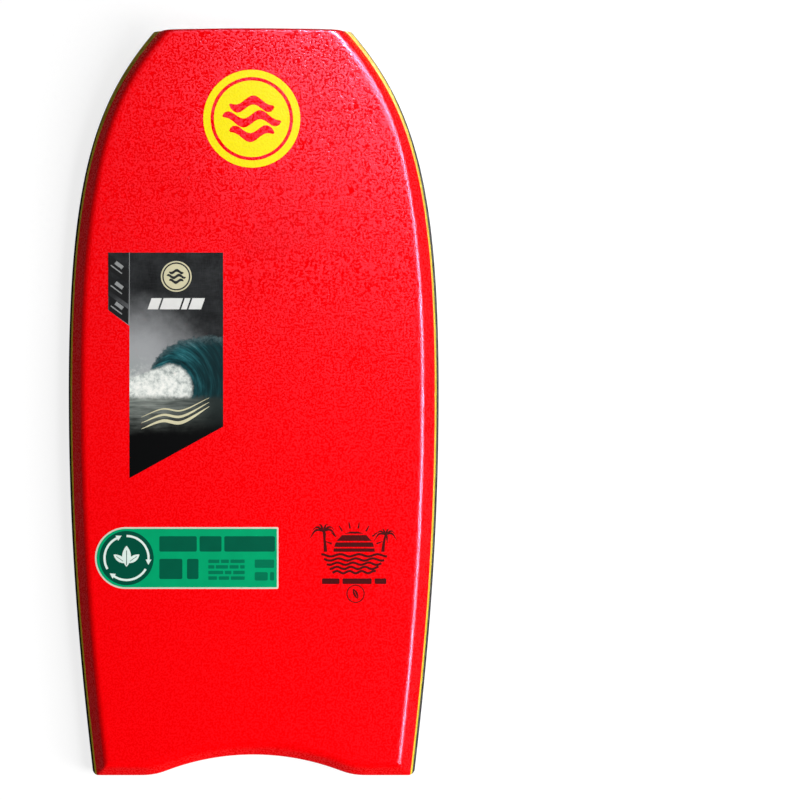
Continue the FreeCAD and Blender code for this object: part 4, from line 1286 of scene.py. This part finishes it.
def poster(surface):
    """Printed film under the board: a cut-open board over a sea horizon."""
    low, high = span("slick_label")
    left, right, foot, top = low[0], high[0], low[1], high[1]
    view = View((left + right) / 2, top)
    shape, line = view.shape, view.line
    picture = horizon_picture((left, foot), (right, top))
    colours = {
        "border": (0.4, 0.07, 0.055), "white": (0.8, 0.8, 0.78), "cream": (0.72, 0.62, 0.45),
        "tan": (0.5, 0.36, 0.23), "pale": (0.42, 0.42, 0.41), "grey": (0.2, 0.2, 0.19),
        "dim": (0.055, 0.057, 0.053), "black": (0.006, 0.006, 0.0065), "satin": (0.02, 0.02, 0.021),
    }
    ink_of = {word: vinyl(f"poster_{word}", colour) for word, colour in colours.items()}
    drawing = cut_open_board(view)
    inset = 1.6

    word = view.bars(-67, 62, 15, 40, (22, 40, 12, 30), 3)
    small_print = view.bars(-65.7, 61, 49, 53, (9, 6, 12, 7, 8), 1.5, 0)
    small_print += view.bars(-83, 72, 295, 297.5, (9, 6, 12, 7, 14, 8), 1.5, 0)
    captions = []
    for u, v, wide, tall in ((-121, 91.5, 63, 3.2), (37, 118, 84, 3.2), (-121, 240, 49, 3.4),
                             (-71, 252.6, 64, 3.4), (8, 238.2, 91, 3.2), (18, 247.4, 63, 3.2)):
        captions += view.bars(u, u + wide, v, v + tall, (6, 10, 4, 9), 1.4, 0)
    captions.append([circle(view.at(11, 249), 2.3, 24)])
    notes = view.bars(-30, 23, 62.5, 69, (10, 12), 4, 0)
    notes += view.bars(-92, 83, 285, 288, (9, 7, 12, 14), 1.6, 0)
    leaders = [line(0.9, *points) for points in (
        ((-94, 97.5), (-93, 106), (-72, 114.5)), ((102, 125), (100.5, 139), (90, 162)),
        ((1, 202), (21, 221), (21, 233)), ((-47, 206), (-30, 232), (-29, 246)), ((-95, 209), (-95, 235)))]
    rules = [line(0.8, (-110, v), (-10, v), (96, v)) for v in (279.4, 301.8)]
    islets = []
    for u, wide in ((-120, 16), (-50.5, 13), (-12, 22), (41, 11), (82, 17), (143, 15), (20, 7), (108, 8)):
        bump = [(u + wide * (t - 0.5), 358.4 - 4.2 * math.sin(math.pi * t) ** 0.6 * min(1, wide / 14))
                for t in np.linspace(0, 1, 17)]
        islets.append(shape(*bump))
    emblem_place = np.array(view.at(69.3, 179.3))
    oval = [ring((0, 0), 24, 20.6, 64), [circle((0, 0), 18.6, 64), *wave_mark((0, 0), 17)]]
    emblem = [[loop * (1, 0.42) + emblem_place for loop in figure] for figure in oval]
    # the strokes are mirrored so that they climb to the viewer's right
    brush = [[(loop * (-1, 1))[::-1] for loop in figure]
             for figure in swoosh((-view.x - 83, top - 541), 162, 46, 13, (8.5, 6, 3.6))]
    ink_3 = INK_2 + 0.01
    layers = [
        ([[bar(left, foot, right, top)]], 0, BASE_TOP, ink_of["border"]),
        ([[bar(left + inset, foot + inset, right - inset, top - inset)]], BASE_TOP, INK_1, picture),
        (drawing["shadow"], INK_1, INK_1 + 0.01, ink_of["black"]),
        (drawing["top"], INK_1, INK_2 - 0.01, ink_of["black"]),
        (drawing["sheen"], INK_2 - 0.01, INK_2, ink_of["satin"]),
        (drawing["pale"], INK_1, INK_2, ink_of["pale"]),
        (drawing["white"], INK_1, INK_2, ink_of["white"]),
        (drawing["tan"], INK_1, INK_2, ink_of["tan"]),
        (drawing["rod"], INK_2, ink_3, ink_of["black"]),
        (word + captions, INK_1, INK_2, ink_of["white"]),
        (notes + leaders + rules, INK_1, INK_2, ink_of["grey"]),
        (small_print, INK_1, INK_2, ink_of["dim"]),
        (islets, INK_1, INK_2, ink_of["black"]),
        (emblem, INK_2, ink_3, ink_of["cream"]),
        (brush, INK_1, INK_2, ink_of["cream"]),
    ]
    piece = print_layers("poster_film", layers, surface, -1)
    return finish_piece(piece, ["slick_label"])


def slick_word_mark():
    """Red bars across the nose end of the slick."""
    view = View(0, 0)
    return view.bars(-121, 124, -(TAIL_Y + 1019), -(TAIL_Y + 976), (44, 70, 20, 62), 6)


def slick_emblem():
    """A leaf in a round of arrows, near the tail of the slick."""
    centre = (-12.6, TAIL_Y + 102.6)
    mark = chasing_arrows(centre, 34.5, 3.4) + sprig(centre, 17, 1, 12, 52, 14, 9)
    low = centre[1] - 44
    mark += rows_of_bars(centre[0] - 26, centre[0] + 26, low, (3.4,), 1, ((9, 2, 14, 2, 7),), 0.8)
    return mark


# ---- build

red = red_foam()
yellow = yellow_foam()
black = black_foam()

deck_skin(red)
for side, word in ((-1, "left"), (1, "right")):
    rail(side, f"black_rail_{word}", black_section, black, f"outer_rail_{word}")
    rail(side, f"yellow_rail_{word}", yellow_section, yellow, f"inner_rail_{word}")
tail_foam_strip(red)
nose_foam_strip(red)
slick_sheet(slick_plastic())

deck_label(deck_height)
core_sticker(deck_height)
poster(slick_height)

PRINTS = (
    ("deck_emblem_print", deck_height, 1, [
        (deck_emblem(), INK_FOOT, DECK_INK, ink("emblem_ink", (0.93, 0.78, 0.0)))]),
    ("deck_drawing_print", deck_height, 1, [
        (deck_drawing(), INK_FOOT, DECK_INK, ink("drawing_ink", (0.065, 0.003, 0.006)))]),
    ("slick_print", slick_height, -1, [
        (slick_word_mark(), INK_FOOT, SLICK_INK, vinyl("slick_red_ink", (0.9, 0.006, 0.006))),
        (slick_emblem(), INK_FOOT, SLICK_INK, vinyl("slick_black_ink", (0.006, 0.006, 0.006)))]),
)
for name, surface, facing, layers in PRINTS:
    finish_piece(print_layers(name, layers, surface, facing))

for node, material in (("core", white_core()), ("slick_mesh", woven_mesh()), ("stringer_tube", carbon()),
                       ("stringer_plug_front", moulded("plug_plastic", (0.05, 0.05, 0.05))),
                       ("stringer_plug_rear", moulded("plug_plastic_rear", (0.05, 0.05, 0.05)))):
    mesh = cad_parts[node].data
    mesh.materials.clear()
    mesh.materials.append(material)


# ---- floor, light and camera

def make_floor(size_m=14.0, drop_mm=0.5):
    mesh = bpy.data.meshes.new("floor")
    half = size_m / 2
    corners = [(-half, -half), (half, -half), (half, half), (-half, half)]
    mesh.from_pydata([(x, y, -drop_mm * MM) for x, y in corners], [], [(0, 1, 2, 3)])
    paint = Paint("floor_white", Roughness=0.9, Specular_IOR_Level=0.1,
                  Base_Color=(0.22, 0.22, 0.22, 1), Emission_Color=(1, 1, 1, 1))
    # the camera sees the floor brighter than it shines on the board
    seen = paint.node("LightPath", "Is Camera Ray")
    paint.feed(paint.shader.inputs["Emission Strength"], seen * 0.31 + 0.5)
    mesh.materials.append(paint.material)
    floor = bpy.data.objects.new("floor", mesh)
    floor.visible_glossy = False
    bpy.context.scene.collection.objects.link(floor)
    floor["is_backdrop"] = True


def area_light(name, place, target, size, power, spread_deg=180, diffuse=True, glossy=True):
    lamp = bpy.data.lights.new(name, "AREA")
    lamp.shape = "RECTANGLE"
    lamp.size, lamp.size_y = size
    lamp.energy = power
    lamp.spread = math.radians(spread_deg)
    holder = bpy.data.objects.new(name, lamp)
    holder.location = place
    holder.rotation_euler = (Vector(target) - Vector(place)).to_track_quat("-Z", "Y").to_euler()
    holder.visible_diffuse = diffuse
    holder.visible_glossy = glossy
    bpy.context.scene.collection.objects.link(holder)


def world_light(fill=0.06, backdrop=0.8):
    """Dim, even light from all round, with a pale backdrop for the camera to see."""
    world = bpy.data.worlds.new("studio")
    bpy.context.scene.world = world
    world.use_nodes = True
    nodes, links = world.node_tree.nodes, world.node_tree.links
    background = nodes["Background"]
    path = nodes.new("ShaderNodeLightPath")
    level = nodes.new("ShaderNodeMapRange")
    level.inputs["To Min"].default_value = fill
    level.inputs["To Max"].default_value = backdrop
    links.new(path.outputs["Is Camera Ray"], level.inputs["Value"])
    links.new(level.outputs["Result"], background.inputs["Strength"])
    background.inputs["Color"].default_value = (1, 1, 1, 1)


def make_camera(distance=4.5, lens=140.7, place=(0.2105, 0.0055)):
    camera = bpy.data.cameras.new("camera")
    camera.lens = lens
    camera.sensor_width = 36
    holder = bpy.data.objects.new("camera", camera)
    holder.location = (*place, distance + 0.026)
    bpy.context.scene.collection.objects.link(holder)
    bpy.context.scene.camera = holder


make_floor()
area_light("key", (2.6, -0.9, 2.6), (0, 0, 0), (1.9, 3.4), 250, glossy=False)
area_light("sheen", (0.27, 0.72, 0.72), (0.13, 0.46, 0), (0.25, 0.25), 30, 75, diffuse=False)
area_light("edge_sheen", (1.1, -0.05, 0.75), (0.25, -0.05, 0.05), (1.9, 0.55), 50, 60, diffuse=False)
area_light("corner_sheen", (0.78, 0.74, 0.8), (0.2, 0.38, 0.07), (0.3, 1.0), 14, 60, diffuse=False)
world_light()
make_camera()
bpy.context.scene.view_settings.view_transform = "Standard"

[[list(corner) for corner in box] for box in (CAD_BOX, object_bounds())]
